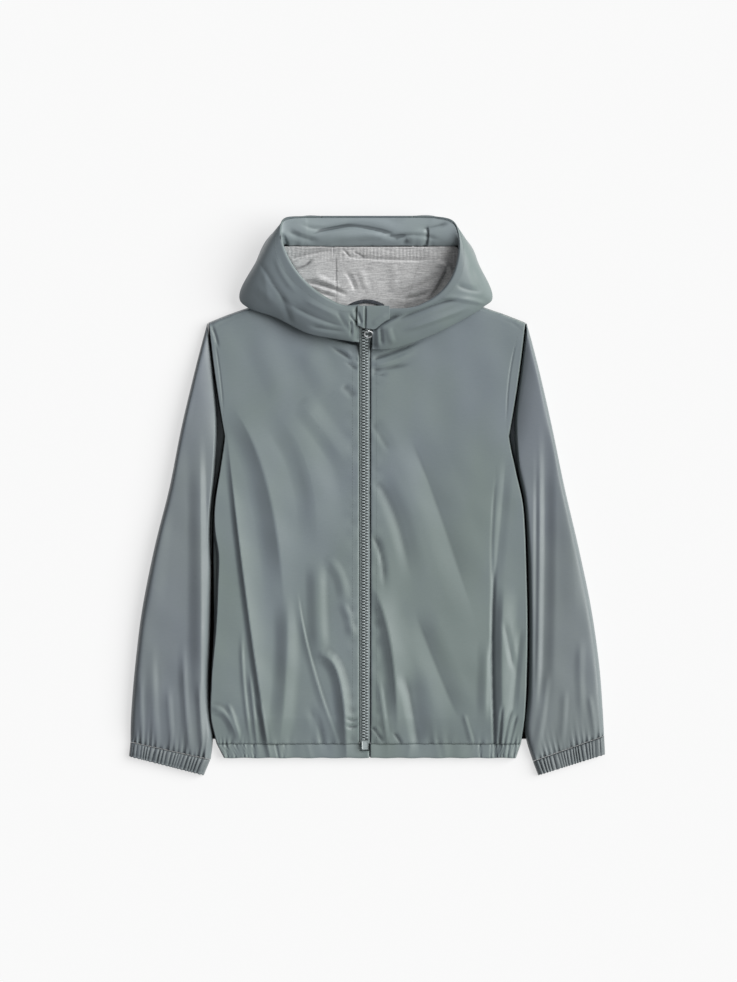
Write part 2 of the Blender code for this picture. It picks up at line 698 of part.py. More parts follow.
def make_zip_box():
    """The retainer box at the foot of the zip."""
    middle_y = ZIP_FOOT_Y + BOX_SIZE[1] / 2
    rest = zip_height(ZIP_FOOT_Y + BOX_SIZE[1]) + GAP
    add_block("zip_box", (ZIP_X, middle_y, rest + BOX_SIZE[2] / 2), BOX_SIZE, BOX_ROUNDING, moulded)


def add_block(name, centre, size, rounding, material):
    shape = bmesh.new()
    bmesh.ops.create_cube(shape, size=1.0)
    bmesh.ops.scale(shape, vec=Vector(size) * MM, verts=shape.verts)
    mesh = bpy.data.meshes.new(name)
    shape.to_mesh(mesh)
    shape.free()
    obj = new_object(name, mesh, material)
    obj.location = Vector(centre) * MM
    bevel = obj.modifiers.new("Rounding", "BEVEL")
    bevel.width = rounding * MM
    bevel.segments = 2
    return obj


def make_slider():
    """The slider's body, joined with the small hooked bridge that holds the pull ring."""
    body = add_block("zip_slider", SLIDER_AT, SLIDER_SIZE, SLIDER_ROUNDING, metal)
    count = 9
    foot = (PULL_AT[0], SLIDER_AT[1] - SLIDER_SIZE[1] / 2 + BRIDGE_WIRE, PULL_AT[2])
    points = [foot]
    for i in range(count):
        turn = math.pi * i / (count - 1)
        lean = BRIDGE_REACH * math.cos(turn)
        points.append((PULL_AT[0], PULL_AT[1] + lean, PULL_AT[2] + BRIDGE_REACH * math.sin(turn)))
    bridge = as_cutter(wire("bridge", points, BRIDGE_WIRE / 2, metal))
    union = body.modifiers.new("Bridge", "BOOLEAN")
    union.operation = "UNION"
    union.object = bridge


def as_cutter(curve_object):
    """A curve made into a closed mesh that a Boolean can use, kept with the helpers."""
    graph = bpy.context.evaluated_depsgraph_get()
    mesh = bpy.data.meshes.new_from_object(curve_object.evaluated_get(graph))
    shape = bmesh.new()
    shape.from_mesh(mesh)
    bmesh.ops.remove_doubles(shape, verts=shape.verts, dist=1e-6)
    bmesh.ops.recalc_face_normals(shape, faces=shape.faces)
    shape.to_mesh(mesh)
    shape.free()
    helper = bpy.data.objects.new(curve_object.name + "_helper", mesh)
    helper.hide_render = True
    helper.display_type = "WIRE"
    helpers.objects.link(helper)
    bpy.data.objects.remove(curve_object)
    return helper


def make_pull():
    """The pull ring: an oval wire hinged at its upper bar, hanging down the slope."""
    count = 20
    points = []
    for i in range(count):
        turn = 2 * math.pi * i / count
        across = PULL_WIDTH / 2 * math.sin(turn)
        down = PULL_LENGTH / 2 * (1 - math.cos(turn))
        points.append((across, -down * math.cos(PULL_SLOPE), -down * math.sin(PULL_SLOPE)))
    wire("zip_pull", points, PULL_WIRE / 2, metal, closed=True, origin=PULL_AT)


clear_scene()
jacket = bpy.data.collections.new("hooded_windbreaker")
helpers = bpy.data.collections.new("helpers")
for group in (jacket, helpers):
    bpy.context.scene.collection.children.link(group)
shell, jersey, tape, moulded, dark_loop, metal = (make_material(name) for name in COLOURS)

make_back()
make_hem_back()
for wearer_side in (RIGHT, LEFT):
    make_front(wearer_side)
    make_hem(wearer_side)
    make_sleeve(wearer_side)
    make_cuff(wearer_side)
    make_hood_side(wearer_side)
    make_lining(wearer_side)
    make_tape(wearer_side)
make_hood_centre()
make_facing()
make_lining_centre()
make_hanger_loop()
make_chin_guard()
make_chain()
make_zip_box()
make_slider()
make_pull()
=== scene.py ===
# %% [markdown]
# # A child's hooded windbreaker, laid out flat
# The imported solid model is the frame: every piece below is placed in its coordinates, with +X towards the
# wearer's left, +Y from the hem to the hood and +Z up from the table. The tables hold millimetres, as a
# pattern cutter would write them, and MM turns them into metres at the last moment.

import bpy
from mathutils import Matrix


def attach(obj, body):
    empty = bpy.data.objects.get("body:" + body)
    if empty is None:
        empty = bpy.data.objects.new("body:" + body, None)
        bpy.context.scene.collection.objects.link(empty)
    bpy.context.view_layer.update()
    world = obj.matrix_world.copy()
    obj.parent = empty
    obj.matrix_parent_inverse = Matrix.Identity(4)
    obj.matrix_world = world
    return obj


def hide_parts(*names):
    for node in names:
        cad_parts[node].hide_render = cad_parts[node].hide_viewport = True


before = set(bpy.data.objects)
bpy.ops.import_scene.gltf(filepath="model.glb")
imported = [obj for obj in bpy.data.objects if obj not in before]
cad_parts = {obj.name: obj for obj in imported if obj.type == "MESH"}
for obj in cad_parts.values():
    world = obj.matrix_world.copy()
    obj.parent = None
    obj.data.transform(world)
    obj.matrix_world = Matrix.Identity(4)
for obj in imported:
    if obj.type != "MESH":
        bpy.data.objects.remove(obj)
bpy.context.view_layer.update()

import math
from collections import namedtuple

import bpy
import numpy as np
from mathutils import Vector

MM = 0.001
RIGHT, LEFT = -1, 1
SIDE_NAME = {RIGHT: "right", LEFT: "left"}
bpy.ops.object.select_all(action="DESELECT")
print("frame nodes:", len(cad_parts))

# %% [markdown]
# The picture is taken from straight above, as catalogue shots of laid garments are. A long lens high above
# the table keeps the sleeves from leaning outwards. The lens is worked out from the height, so that one
# millimetre on the cloth is one pixel of a picture 982 pixels tall.

# %% Camera
CAMERA_HEIGHT = 6.0
SCALE_PLANE = 0.012
SENSOR = 36.0
PICTURE_TALL = 0.982
CAMERA_OVER = (0.0015, 0.005)

camera_data = bpy.data.cameras.new("overhead")
camera_data.sensor_fit = "VERTICAL"
camera_data.sensor_height = SENSOR
camera_data.lens = SENSOR * (CAMERA_HEIGHT - SCALE_PLANE) / PICTURE_TALL
camera = bpy.data.objects.new("overhead", camera_data)
camera.location = (*CAMERA_OVER, CAMERA_HEIGHT)
bpy.context.scene.collection.objects.link(camera)
bpy.context.scene.camera = camera
print("lens mm:", round(camera_data.lens, 1))

# %% [markdown]
# One broad lamp stands to the right and a little above, and a white room fills in the rest, so folds are
# light on their right flank, dark on their left one, and the jacket throws a soft shadow to the left. A sun
# lamp with a wide angle lights the whole table evenly, which a near softbox would not.

# %% Light and table
KEY_STRENGTH = 3.6
KEY_ANGLE = math.radians(50)
KEY_FROM = Vector((1.12, 0.30, 1.0))
FILL = 0.25
TABLE_REACH, TABLE_Z = 6.0, -0.0004

key = bpy.data.lights.new("key", "SUN")
key.energy = KEY_STRENGTH
key.angle = KEY_ANGLE
key_lamp = bpy.data.objects.new("key", key)
key_lamp.rotation_euler = KEY_FROM.to_track_quat("Z", "Y").to_euler()
bpy.context.scene.collection.objects.link(key_lamp)

room = bpy.data.worlds.new("white_room")
room.use_nodes = True
room.node_tree.nodes["Background"].inputs["Color"].default_value = (1, 1, 1, 1)
room.node_tree.nodes["Background"].inputs["Strength"].default_value = FILL
bpy.context.scene.world = room
bpy.context.scene.view_settings.view_transform = "Standard"

bpy.ops.mesh.primitive_plane_add(size=TABLE_REACH, location=(0, 0, TABLE_Z))
table = bpy.context.object
table.name = "table"
bpy.ops.object.select_all(action="DESELECT")
print("lamp and table placed")

# %% [markdown]
# Every finish is built from a few nodes on Object coordinates. The first helper starts a material, and
# `patches` adds a noise whose scale is given as the size of its patches in millimetres along each axis. The
# others map, combine and mix what the nodes before them give.

# %% Material helpers
def start_material(name):
    material = bpy.data.materials.new(name)
    material.use_nodes = True
    tree = material.node_tree
    return material, tree, tree.nodes["Principled BSDF"]


def axes_of(tree, vector):
    """The x, y and z of a vector as outputs of their own."""
    split = tree.nodes.new("ShaderNodeSeparateXYZ")
    tree.links.new(vector, split.inputs["Vector"])
    return split.outputs


def place_axes(tree):
    return axes_of(tree, tree.nodes.new("ShaderNodeTexCoord").outputs["Object"])


def patches(tree, size, detail=2.0):
    """A noise with patches of about this size in millimetres along x, y and z."""
    place = tree.nodes.new("ShaderNodeTexCoord")
    mapping = tree.nodes.new("ShaderNodeMapping")
    mapping.inputs["Scale"].default_value = [1 / (length * MM) for length in size]
    noise = tree.nodes.new("ShaderNodeTexNoise")
    noise.inputs["Scale"].default_value = 1.0
    noise.inputs["Detail"].default_value = detail
    tree.links.new(place.outputs["Object"], mapping.inputs["Vector"])
    tree.links.new(mapping.outputs["Vector"], noise.inputs["Vector"])
    return noise.outputs["Fac"]


def spread(tree, value, low, high, start=0.3, end=0.7):
    """Maps a noise, which mostly lies between start and end, to a range."""
    node = tree.nodes.new("ShaderNodeMapRange")
    node.inputs["From Min"].default_value = start
    node.inputs["From Max"].default_value = end
    node.inputs["To Min"].default_value = low
    node.inputs["To Max"].default_value = high
    tree.links.new(value, node.inputs["Value"])
    return node.outputs["Result"]


def calculate(tree, operation, first, second):
    node = tree.nodes.new("ShaderNodeMath")
    node.operation = operation
    for socket, value in zip(node.inputs, (first, second)):
        if isinstance(value, (int, float)):
            socket.default_value = value
        else:
            tree.links.new(value, socket)
    return node.outputs["Value"]


def tint(tree, factor, first, second, blend="MIX"):
    node = tree.nodes.new("ShaderNodeMix")
    node.data_type = "RGBA"
    node.blend_type = blend
    node.clamp_factor = True
    for name, value in (("Factor_Float", factor), ("A_Color", first), ("B_Color", second)):
        socket = next(socket for socket in node.inputs if socket.identifier == name)
        if isinstance(value, (tuple, float, int)):
            socket.default_value = value
        else:
            tree.links.new(value, socket)
    return next(socket for socket in node.outputs if socket.identifier == "Result_Color")


def emboss(tree, shader, height, strength, distance):
    node = tree.nodes.new("ShaderNodeBump")
    node.inputs["Strength"].default_value = strength
    node.inputs["Distance"].default_value = distance * MM
    tree.links.new(height, node.inputs["Height"])
    tree.links.new(node.outputs["Normal"], shader.inputs["Normal"])


# %% [markdown]
# The table is a white sheet with a trace of grain that glows by itself, and that glow is painted light, so
# the shadows on it stay faint. Cards of near-black painted shade lie under the body and the shoulders: they
# stop the glow, or its light would shine through the gaps beside the sleeves, and they show as dark shade in
# these gaps. A card is the product of four steps, one at each of its sides.

# %% Table finish
TABLE_WHITE, TABLE_GREY = (0.955, 0.955, 0.955, 1), (0.95, 0.95, 0.95, 1)
TABLE_GRAIN = (3, 3, 3)
# painted light: the table's own glow, which fills in the shadows on it
TABLE_GLOW = 0.65      # share of the table's brightness that comes from below
# painted shade: the near-black colour of the cards, seen in the gaps beside the sleeves
BLACK, PAINTED_GAP_SHADE = (0, 0, 0, 1), (0.016, 0.013, 0.012, 1)
CARD_BLUR = 1.0
Card = namedtuple("Card", "left right foot top")
CARDS = [
    Card(-161.0, 164.5, -244.0, 140.0),
    Card(-159.5, 160.0, 139.0, 164.0),
    Card(-159.6, 159.6, 163.0, 172.0),
]


def shade_card_mask(tree):
    """One over the dark cards and zero elsewhere."""
    place = place_axes(tree)
    shade_card_share = 0.0
    for card in CARDS:
        covered = 1.0
        sides = (("X", card.left, 1), ("X", card.right, -1), ("Y", card.foot, 1), ("Y", card.top, -1))
        for axis, limit, turn in sides:
            start, end = 0.5 - turn / 2, 0.5 + turn / 2
            past = spread(tree, place[axis], start, end, limit * MM, (limit + CARD_BLUR) * MM)
            covered = calculate(tree, "MULTIPLY", past, covered)
        shade_card_share = calculate(tree, "MAXIMUM", covered, shade_card_share)
    return shade_card_share


def glowing_table_finish():
    material, tree, shader = start_material("white_table")
    sheet_white = tint(tree, patches(tree, TABLE_GRAIN), TABLE_GREY, TABLE_WHITE)
    shade_card_share = shade_card_mask(tree)
    glow = spread(tree, shade_card_share, TABLE_GLOW, 0.0, 0.0, 1.0)
    lit_share = tint(tree, glow, sheet_white, BLACK)
    # painted shade on the cards, painted light from the glowing rest of the table
    tree.links.new(tint(tree, shade_card_share, lit_share, PAINTED_GAP_SHADE), shader.inputs["Base Color"])
    tree.links.new(sheet_white, shader.inputs["Emission Color"])
    tree.links.new(glow, shader.inputs["Emission Strength"])
    shader.inputs["Roughness"].default_value = 0.9
    shader.inputs["Specular IOR Level"].default_value = 0.0
    return material


table.data.materials.append(glowing_table_finish())
print("dark cards under the garment:", len(CARDS))

# %% [markdown]
# Taffeta is woven from threads of two colours, so it turns from green-grey to blue-grey with the lie of the
# cloth. The two tints are mixed by the slope of the surface and by broad soft patches. A slub, finer than a
# millimetre, breaks up the colour and lifts the surface a little. Each cloth also stores how deep every point
# lies in a crease, and painted shade darkens the bottoms of the folds by that depth. Slopes that face the
# wearer's right, away from the lamp, get painted shade as well. The sleeves are cut on another grain and look
# bluer, the hood stands up and gets less painted shade on its flanks, the cuffs get darker tints as painted
# shade for their dense pleats, and the facing gets lighter tints as painted light, so the recipe is a
# function of the two tints.

# %% Taffeta
# painted shade: slopes that face the wearer's right, away from the lamp, are darkened towards this tint
SLOPE_SHADE_TINT = (0.070, 0.084, 0.092, 1)       # where the cloth turns steeply to the wearer's right
# painted shade: the bottoms of creases are darkened towards this tint
CREASE_SHADE_TINT = (0.050, 0.062, 0.070, 1)     # at the bottom of a crease
HOLLOW = (0.06, 0.9)                       # from a shallow to a deep crease, millimetres
HEM_LEAN = (0.25, -0.3, -0.15, 0.15)       # the mix at the hem and at the neck, and where these lie
SLOPE_LEAN = 1.5
MOTTLE, SLUB, WEAVE = (70, 130, 70), (5.0, 0.5, 2.0), (0.35, 0.35, 0.35)
SLUB_TINT = (0.75, 0.77, 0.78, 1)


def crease_shade_share(tree, most):
    """How much of the dark tint goes into a crease, from the depth stored on the cloth."""
    depth = tree.nodes.new("ShaderNodeAttribute")
    depth.attribute_name = "crease_shade_depth"
    return spread(tree, depth.outputs["Fac"], 0.0, most, *HOLLOW)


def taffeta(name, cool, warm, lean, deep=0.75):
    """Two-tone taffeta: `lean` moves the mix towards the warm tint, and the hem is warmer than the neck."""
    material, tree, shader = start_material(name)
    towards_hem = spread(tree, place_axes(tree)["Y"], *HEM_LEAN)
    to_left = axes_of(tree, tree.nodes.new("ShaderNodeNewGeometry").outputs["Normal"])["X"]
    slope = calculate(tree, "MULTIPLY", to_left, SLOPE_LEAN)
    mottle = spread(tree, patches(tree, MOTTLE, 3.0), -0.5, 0.5)
    by_place = calculate(tree, "ADD", towards_hem, lean)
    mix = calculate(tree, "ADD", calculate(tree, "ADD", slope, mottle), by_place)
    # painted shade on slopes that face away from the lamp; deep sets how much of it a cloth gets
    turned = spread(tree, to_left, deep, 0.0, -0.7, -0.08)
    base = tint(tree, turned, tint(tree, mix, cool, warm), SLOPE_SHADE_TINT)
    # painted shade at the bottoms of the creases
    base = tint(tree, crease_shade_share(tree, 0.7), base, CREASE_SHADE_TINT)
    slub = patches(tree, SLUB, 3.0)
    shaded = tint(tree, spread(tree, slub, 0.0, 0.22), base, SLUB_TINT, "MULTIPLY")
    tree.links.new(shaded, shader.inputs["Base Color"])
    tree.links.new(spread(tree, patches(tree, (30, 30, 30)), 0.40, 0.52), shader.inputs["Roughness"])
    shader.inputs["Specular IOR Level"].default_value = 0.45
    shader.inputs["Sheen Weight"].default_value = 0.08
    shader.inputs["Sheen Roughness"].default_value = 0.4
    emboss(tree, shader, patches(tree, WEAVE, 1.0), 0.12, 0.1)
    return material


body_taffeta = taffeta("body_taffeta", (0.188, 0.224, 0.246, 1), (0.190, 0.234, 0.226, 1), 0.5)
sleeve_taffeta = taffeta("sleeve_taffeta", (0.180, 0.206, 0.232, 1), (0.196, 0.228, 0.232, 1), 0.35)
# the hood gets less of the painted slope shade than the other cloths
hood_taffeta = taffeta("hood_taffeta", (0.190, 0.226, 0.246, 1), (0.192, 0.236, 0.230, 1), 0.5, deep=0.22)
# painted shade: the cuffs' tints are darker than the sleeves' for the shade in their dense pleats
shaded_cuff_taffeta = taffeta("shaded_cuff_taffeta", (0.136, 0.156, 0.175, 1), (0.148, 0.172, 0.176, 1), 0.35)
# painted light: the facing's tints are lighter than the body's, for the light that it catches
lit_facing_taffeta = taffeta("lit_facing_taffeta", (0.272, 0.318, 0.338, 1), (0.274, 0.326, 0.328, 1), 0.5)
print("taffeta made")

# %% [markdown]
# The hood's lining is a marl jersey: light and dark fibres spun together and knitted in level rows. Two
# noises stretched along X give the streaks, a third one stretched along Y gives the wales of the knit.

# %% Jersey
DARK_FIBRE, LIGHT_FIBRE = (0.38, 0.38, 0.385, 1), (0.72, 0.72, 0.715, 1)
# painted shade: the jersey's creases are darkened towards this tint
JERSEY_CREASE_SHADE = (0.17, 0.17, 0.175, 1)


def marl_jersey():
    material, tree, shader = start_material("marl_jersey")
    streak = patches(tree, (9.0, 0.9, 3.0), 4.0)
    fleck = patches(tree, (2.2, 0.7, 1.5), 3.0)
    streaks = calculate(tree, "MULTIPLY", streak, 0.6)
    flecks = calculate(tree, "MULTIPLY", fleck, 0.4)
    both = calculate(tree, "ADD", streaks, flecks)
    marl = tint(tree, spread(tree, both, 0.0, 1.0, 0.36, 0.64), DARK_FIBRE, LIGHT_FIBRE)
    base = tint(tree, crease_shade_share(tree, 0.6), marl, JERSEY_CREASE_SHADE)
    tree.links.new(base, shader.inputs["Base Color"])
    wale = patches(tree, (0.9, 4.0, 2.0), 2.0)
    tree.links.new(spread(tree, fleck, 0.8, 0.95), shader.inputs["Roughness"])
    shader.inputs["Specular IOR Level"].default_value = 0.2
    shader.inputs["Sheen Weight"].default_value = 0.15
    emboss(tree, shader, calculate(tree, "ADD", wale, both), 0.5, 0.35)
    return material


jersey = marl_jersey()
print("jersey made")

# %% [markdown]
# The small parts get their own finishes: moulded plastic for the teeth with a soft gloss, lacquered
# metal for the slider, bright metal for the ring, a dark cord for the hanger loop, and sewing thread.

# %% Small finishes
def plain_finish(name, dark, light, grain, roughness, metallic=0.0, bump=0.1):
    """Two close tints mixed by a fine grain, which also roughens the surface."""
    material, tree, shader = start_material(name)
    noise = patches(tree, grain, 3.0)
    tree.links.new(tint(tree, spread(tree, noise, 0.0, 1.0), dark, light), shader.inputs["Base Color"])
    tree.links.new(spread(tree, noise, *roughness), shader.inputs["Roughness"])
    shader.inputs["Metallic"].default_value = metallic
    emboss(tree, shader, noise, bump, 0.1)
    return material


moulded = plain_finish(
    "moulded_teeth", (0.30, 0.345, 0.35, 1), (0.38, 0.425, 0.43, 1), (2.0, 2.0, 2.0), (0.2, 0.32)
)
lacquer = plain_finish(
    "lacquered_metal", (0.34, 0.36, 0.37, 1), (0.46, 0.48, 0.49, 1), (1.5, 1.5, 1.5), (0.2, 0.3), metallic=0.9
)
bright_metal = plain_finish(
    "bright_metal", (0.62, 0.64, 0.65, 1), (0.80, 0.82, 0.83, 1), (1.5, 1.5, 1.5), (0.2, 0.3), metallic=0.4
)
dark_cord = plain_finish(
    "dark_cord", (0.012, 0.015, 0.02, 1), (0.085, 0.095, 0.11, 1), (2.4, 1.2, 1.2), (0.7, 0.85), bump=0.4
)
thread = plain_finish(
    "sewing_thread", (0.16, 0.19, 0.20, 1), (0.22, 0.26, 0.265, 1), (0.6, 0.6, 0.6), (0.5, 0.65)
)
print("finishes:", len(bpy.data.materials))

# %% [markdown]
# A garment's edges are smooth curves through a few measured points. These helpers read a short table as such
# curves, for whole arrays of places at once, because a cloth with a point every two millimetres has tens of
# thousands of them.

# %% Reading tables as curves
def between(start, end, share):
    return start + (end - start) * share


def table_at(rows, place):
    """The table's rows at places counted in rows, on smooth curves through them."""
    rows = np.asarray(rows, float)
    place = np.asarray(place, float)
    last = len(rows) - 1
    first = np.clip(place.astype(int), 0, last - 1)
    before, start = rows[np.maximum(first - 1, 0)], rows[first]
    end, after = rows[first + 1], rows[np.minimum(first + 2, last)]
    t = (place - first)[..., None]
    square = 2 * before - 5 * start + 4 * end - after
    cube = 3 * start - before - 3 * end + after
    return 0.5 * (2 * start + (end - before) * t + square * t ** 2 + cube * t ** 3)


def read_column(rows, key, column, at):
    """A column of the table as a curve over a rising or falling key column."""
    keys = np.array([getattr(row, key) for row in rows], float)
    places = np.arange(len(keys), dtype=float)
    if keys[0] > keys[-1]:
        keys, places = keys[::-1], places[::-1]
    place = np.interp(at, keys, places)
    return table_at([(getattr(row, column),) for row in rows], place)[..., 0]


def ease(start, end, value):
    """Rises smoothly from 0 at start to 1 at end."""
    t = np.clip((value - start) / (end - start), 0.0, 1.0)
    return t * t * (3 - 2 * t)


def roll(distance, width):
    """A rounded shoulder, 0 at the edge and 1 from that width on."""
    share = np.clip(distance / width, 0.0, 1.0)
    return np.sqrt(1 - (1 - share) ** 2)


def bow_out(share, bow):
    return 4 * share * (1 - share) * bow


def shares(columns, rows):
    """Shares across and along for every point of a grid."""
    return np.meshgrid(np.linspace(0, 1, columns + 1), np.linspace(0, 1, rows + 1))


# %% [markdown]
# Each cloth is a grid of points that becomes a quad mesh. A live Solidify gives it the thickness of the
# fabric, inwards from its outer face. A tube wraps its last column round to the first. `hollows` measures how
# deep each point lies in a crease, for the finish to darken with painted shade. `dress` then hangs the piece
# on the garment's body and hides the solid that it stands for.

# %% Cloth helpers
FABRIC = 0.45          # thickness of the taffeta, with its seam allowances
HOLLOW_STEPS = 3       # grid steps from a point to the neighbours that it is compared with
Cut = namedtuple("Cut", "width length area")


def grid_faces(rows, columns, wrap=False, flip=False):
    index = np.arange(rows * columns).reshape(rows, columns)
    if wrap:
        index = np.concatenate([index, index[:, :1]], axis=1)
    corners = [index[:-1, :-1], index[:-1, 1:], index[1:, 1:], index[1:, :-1]]
    faces = np.stack(corners, axis=-1).reshape(-1, 4)
    return faces[:, ::-1] if flip else faces


def new_piece(name, points, faces, material):
    mesh = bpy.data.meshes.new(name)
    places = np.asarray(points).reshape(-1, 3) * MM
    mesh.from_pydata(places.tolist(), [], [list(face) for face in faces])
    mesh.materials.append(material)
    mesh.shade_smooth()
    piece = bpy.data.objects.new(name, mesh)
    bpy.context.scene.collection.objects.link(piece)
    return piece


def grid_normals(points):
    along, across = np.gradient(points, axis=0), np.gradient(points, axis=1)
    normal = np.cross(across, along)
    return normal / np.maximum(np.linalg.norm(normal, axis=-1, keepdims=True), 1e-9)


def hollows(points, wrap, flip):
    """How far each point lies below the points some steps around it, in millimetres."""
    n = HOLLOW_STEPS
    rows, columns = points.shape[:2]
    wide = np.pad(points, ((0, 0), (n, n), (0, 0)), mode="wrap" if wrap else "edge")
    tall = np.pad(points, ((n, n), (0, 0), (0, 0)), mode="edge")
    beside = (wide[:, :columns] + wide[:, 2 * n:]) / 2
    above = (tall[:rows] + tall[2 * n:]) / 2
    outward = grid_normals(points) * (-1 if flip else 1)
    return np.sum(((beside + above) / 2 - points) * outward, axis=-1)


def cloth(name, points, material, wall=FABRIC, wrap=False, flip=False):
    """A cloth from a grid of points [row, column, xyz], thickened inwards."""
    rows, columns = points.shape[:2]
    piece = new_piece(name, points, grid_faces(rows, columns, wrap, flip).tolist(), material)
    # the crease depth, which the finishes turn into painted shade
    depth = piece.data.attributes.new("crease_shade_depth", "FLOAT", "POINT")
    depth.data.foreach_set("value", hollows(points, wrap, flip).ravel())
    solidify = piece.modifiers.new("Fabric", "SOLIDIFY")
    solidify.thickness = wall * MM
    solidify.offset = -1
    return piece


def closed_tube(name, points, material, flip=False):
    """A closed roll of cloth: rings of points with a face over each end."""
    rows, columns = points.shape[:2]
    faces = grid_faces(rows, columns, True, flip).tolist()
    first = list(range(columns))
    last = [(rows - 1) * columns + i for i in range(columns)]
    faces += [first, last[::-1]] if flip else [first[::-1], last]
    return new_piece(name, points, faces, material)


def dress(piece, node, body="garment"):
    """Hangs a piece on its body, and hides the solid that it stands for where it is more than sewing."""
    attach(piece, body)
    if node:
        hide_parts(node)
    print(piece.name, "points:", len(piece.data.vertices))


# %% [markdown]
# A crease is a path through three points with its own width on each side, because a fold in taffeta has one
# steep flank and one that runs out gently. `crease_lift` finds, for every point of a cloth, how far it lies
# from each path and on which side, and adds a bell across it that fades at the ends. A crisp crease has a
# sharp line instead of a round bottom or top, as taffeta has where it turns over, and the column gives the
# share of that. West and east are -X and +X for a path that runs down the page; for a level path they are
# below and above it.

# %% Creases
Crease = namedtuple("Crease", "x0 y0 x1 y1 x2 y2 west east lift crisp", defaults=(0.0,))
CREASE_STEPS = 14
CREASE_FADE = 0.3


def crease_path(crease):
    """The crease's path as points, on a curve through its three points."""
    start, middle, end = (np.array(crease[i:i + 2], float) for i in (0, 2, 4))
    control = 2 * middle - (start + end) / 2
    s = np.linspace(0, 1, CREASE_STEPS + 1)[:, None]
    return start * (1 - s) ** 2 + control * 2 * s * (1 - s) + end * s ** 2


def one_crease(crease, x, y):
    """Height that one crease adds at these points."""
    path = crease_path(crease)
    nearest = np.full(x.shape, np.inf)
    turn, along = np.zeros(x.shape), np.zeros(x.shape)
    for i, (start, end) in enumerate(zip(path[:-1], path[1:])):
        step = end - start
        t = np.clip(((x - start[0]) * step[0] + (y - start[1]) * step[1]) / (step @ step), 0, 1)
        dx, dy = x - start[0] - t * step[0], y - start[1] - t * step[1]
        distance = np.hypot(dx, dy)
        closer = distance < nearest
        nearest = np.minimum(distance, nearest)
        turn = np.where(closer, step[0] * dy - step[1] * dx, turn)
        along = np.where(closer, (i + t) / CREASE_STEPS, along)
    to_east = turn > 0
    away = np.minimum(nearest / np.where(to_east, crease.east, crease.west), 1)
    soft = (1 + np.cos(np.pi * away)) / 2
    shape = between(soft, (1 - away) ** 2, crease.crisp)
    fade = ease(0, CREASE_FADE, along) * ease(0, CREASE_FADE, 1 - along)
    return crease.lift * fade * shape


def crease_lift(creases, x, y):
    """Height that all the creases add together."""
    lift = np.zeros(x.shape)
    for crease in creases:
        reach = max(crease.west, crease.east)
        path = crease_path(crease)
        low, high = path.min(axis=0) - reach, path.max(axis=0) + reach
        near = (x > low[0]) & (x < high[0]) & (y > low[1]) & (y < high[1])
        lift[near] += one_crease(crease, x[near], y[near])
    return lift


def ripple(x, y):
    """The faint unevenness of a cloth smoothed by hand."""
    long = np.sin(x / 17.0 + 0.9 * np.sin(y / 41.0)) * np.sin(y / 53.0 + 0.8)
    short = np.sin(x / 7.3 + y / 12.1 + 1.1 * np.sin(y / 29.0)) * np.sin(y / 23.0 - x / 31.0)
    return 0.5 * long + 0.2 * short


# %% [markdown]
# The two fronts are the largest cloths. Their outline comes from the pattern: side edge, armhole, shoulder,
# neck and the folded edge beside the zip. Their height is a low loft that rolls down at the sides and at the
# shoulders. The main creases are placed one by one, as they hang from shoulder and armpit down to the hem.

# %% Body outline and loft
HEM_Y, HEM_SEAM_Y = -262.4, -247.6
ARMPIT_Y = 60.0
SHOULDER_TIP = (158.8, 173.5)
ARMHOLE_BOW = -1.2
NECK_Y, BACK_NECK_Y = 150.0, 196.0
EDGE_Z = 2.4
SHOULDER_ROLL = 3.5
SEAM_GAP = 0.4
ZIP_X = -2.0
ZIP_EDGE = {RIGHT: -7.8, LEFT: 3.4}
EdgeRow = namedtuple("EdgeRow", "y right left")
LoftRow = namedtuple("LoftRow", "y rise")
RollRow = namedtuple("RollRow", "y right left")
TopRow = namedtuple("TopRow", "x y")

BODY_EDGE = [
    EdgeRow(-262, 143.6, 149.2),
    EdgeRow(-248, 150.8, 154.2),
    EdgeRow(-222, 156.8, 158.2),
    EdgeRow(-190, 156.4, 160.0),
    EdgeRow(-130, 153.5, 161.0),
    EdgeRow(-44, 154.0, 159.0),
    EdgeRow(-8, 152.5, 156.5),
    EdgeRow(24, 147.6, 149.5),
    EdgeRow(ARMPIT_Y, 142.6, 142.4),
]
LOFT = [
    LoftRow(-262, 7.0),
    LoftRow(-249, 7.5),
    LoftRow(-222, 13.0),
    LoftRow(-170, 15.5),
    LoftRow(-60, 16.0),
    LoftRow(60, 14.5),
    LoftRow(120, 12.5),
    LoftRow(170, 10.0),
    LoftRow(205, 8.5),
]
SIDE_ROLL = [
    RollRow(-262, 1.2, 1.4),
    RollRow(-182, 1.0, 1.4),
    RollRow(-132, 3.0, 1.4),
    RollRow(-93, 4.8, 1.4),
    RollRow(-60, 6.0, 1.4),
    RollRow(-35, 2.4, 1.4),
    RollRow(-17, 1.0, 1.4),
    RollRow(180, 1.0, 1.4),
]
SHELF, SHELF_ROLL = 0.4, 1.2   # beside a wide roll, the cloth below shows as a low shelf
STEP = 2.5                     # width of the steep rise behind it
TOP_EDGE = [
    TopRow(*SHOULDER_TIP),
    TopRow(150, 177.2),
    TopRow(134, 183.4),
    TopRow(105, 193.0),
    TopRow(76, 199.0),
    TopRow(64, 178.0),
    TopRow(38, 158.0),
    TopRow(8, NECK_Y),
]
SHOULDER_ROWS = 5


def edge_x(side, y):
    """Distance of the body's side edge from the centre line."""
    y = np.asarray(y, float)
    column = SIDE_NAME[side]
    below = read_column(BODY_EDGE, "y", column, y)
    share = np.clip((y - ARMPIT_Y) / (SHOULDER_TIP[1] - ARMPIT_Y), 0, 1)
    above = between(getattr(BODY_EDGE[-1], column), SHOULDER_TIP[0], share) - bow_out(share, ARMHOLE_BOW)
    return np.where(y <= ARMPIT_Y, below, above)


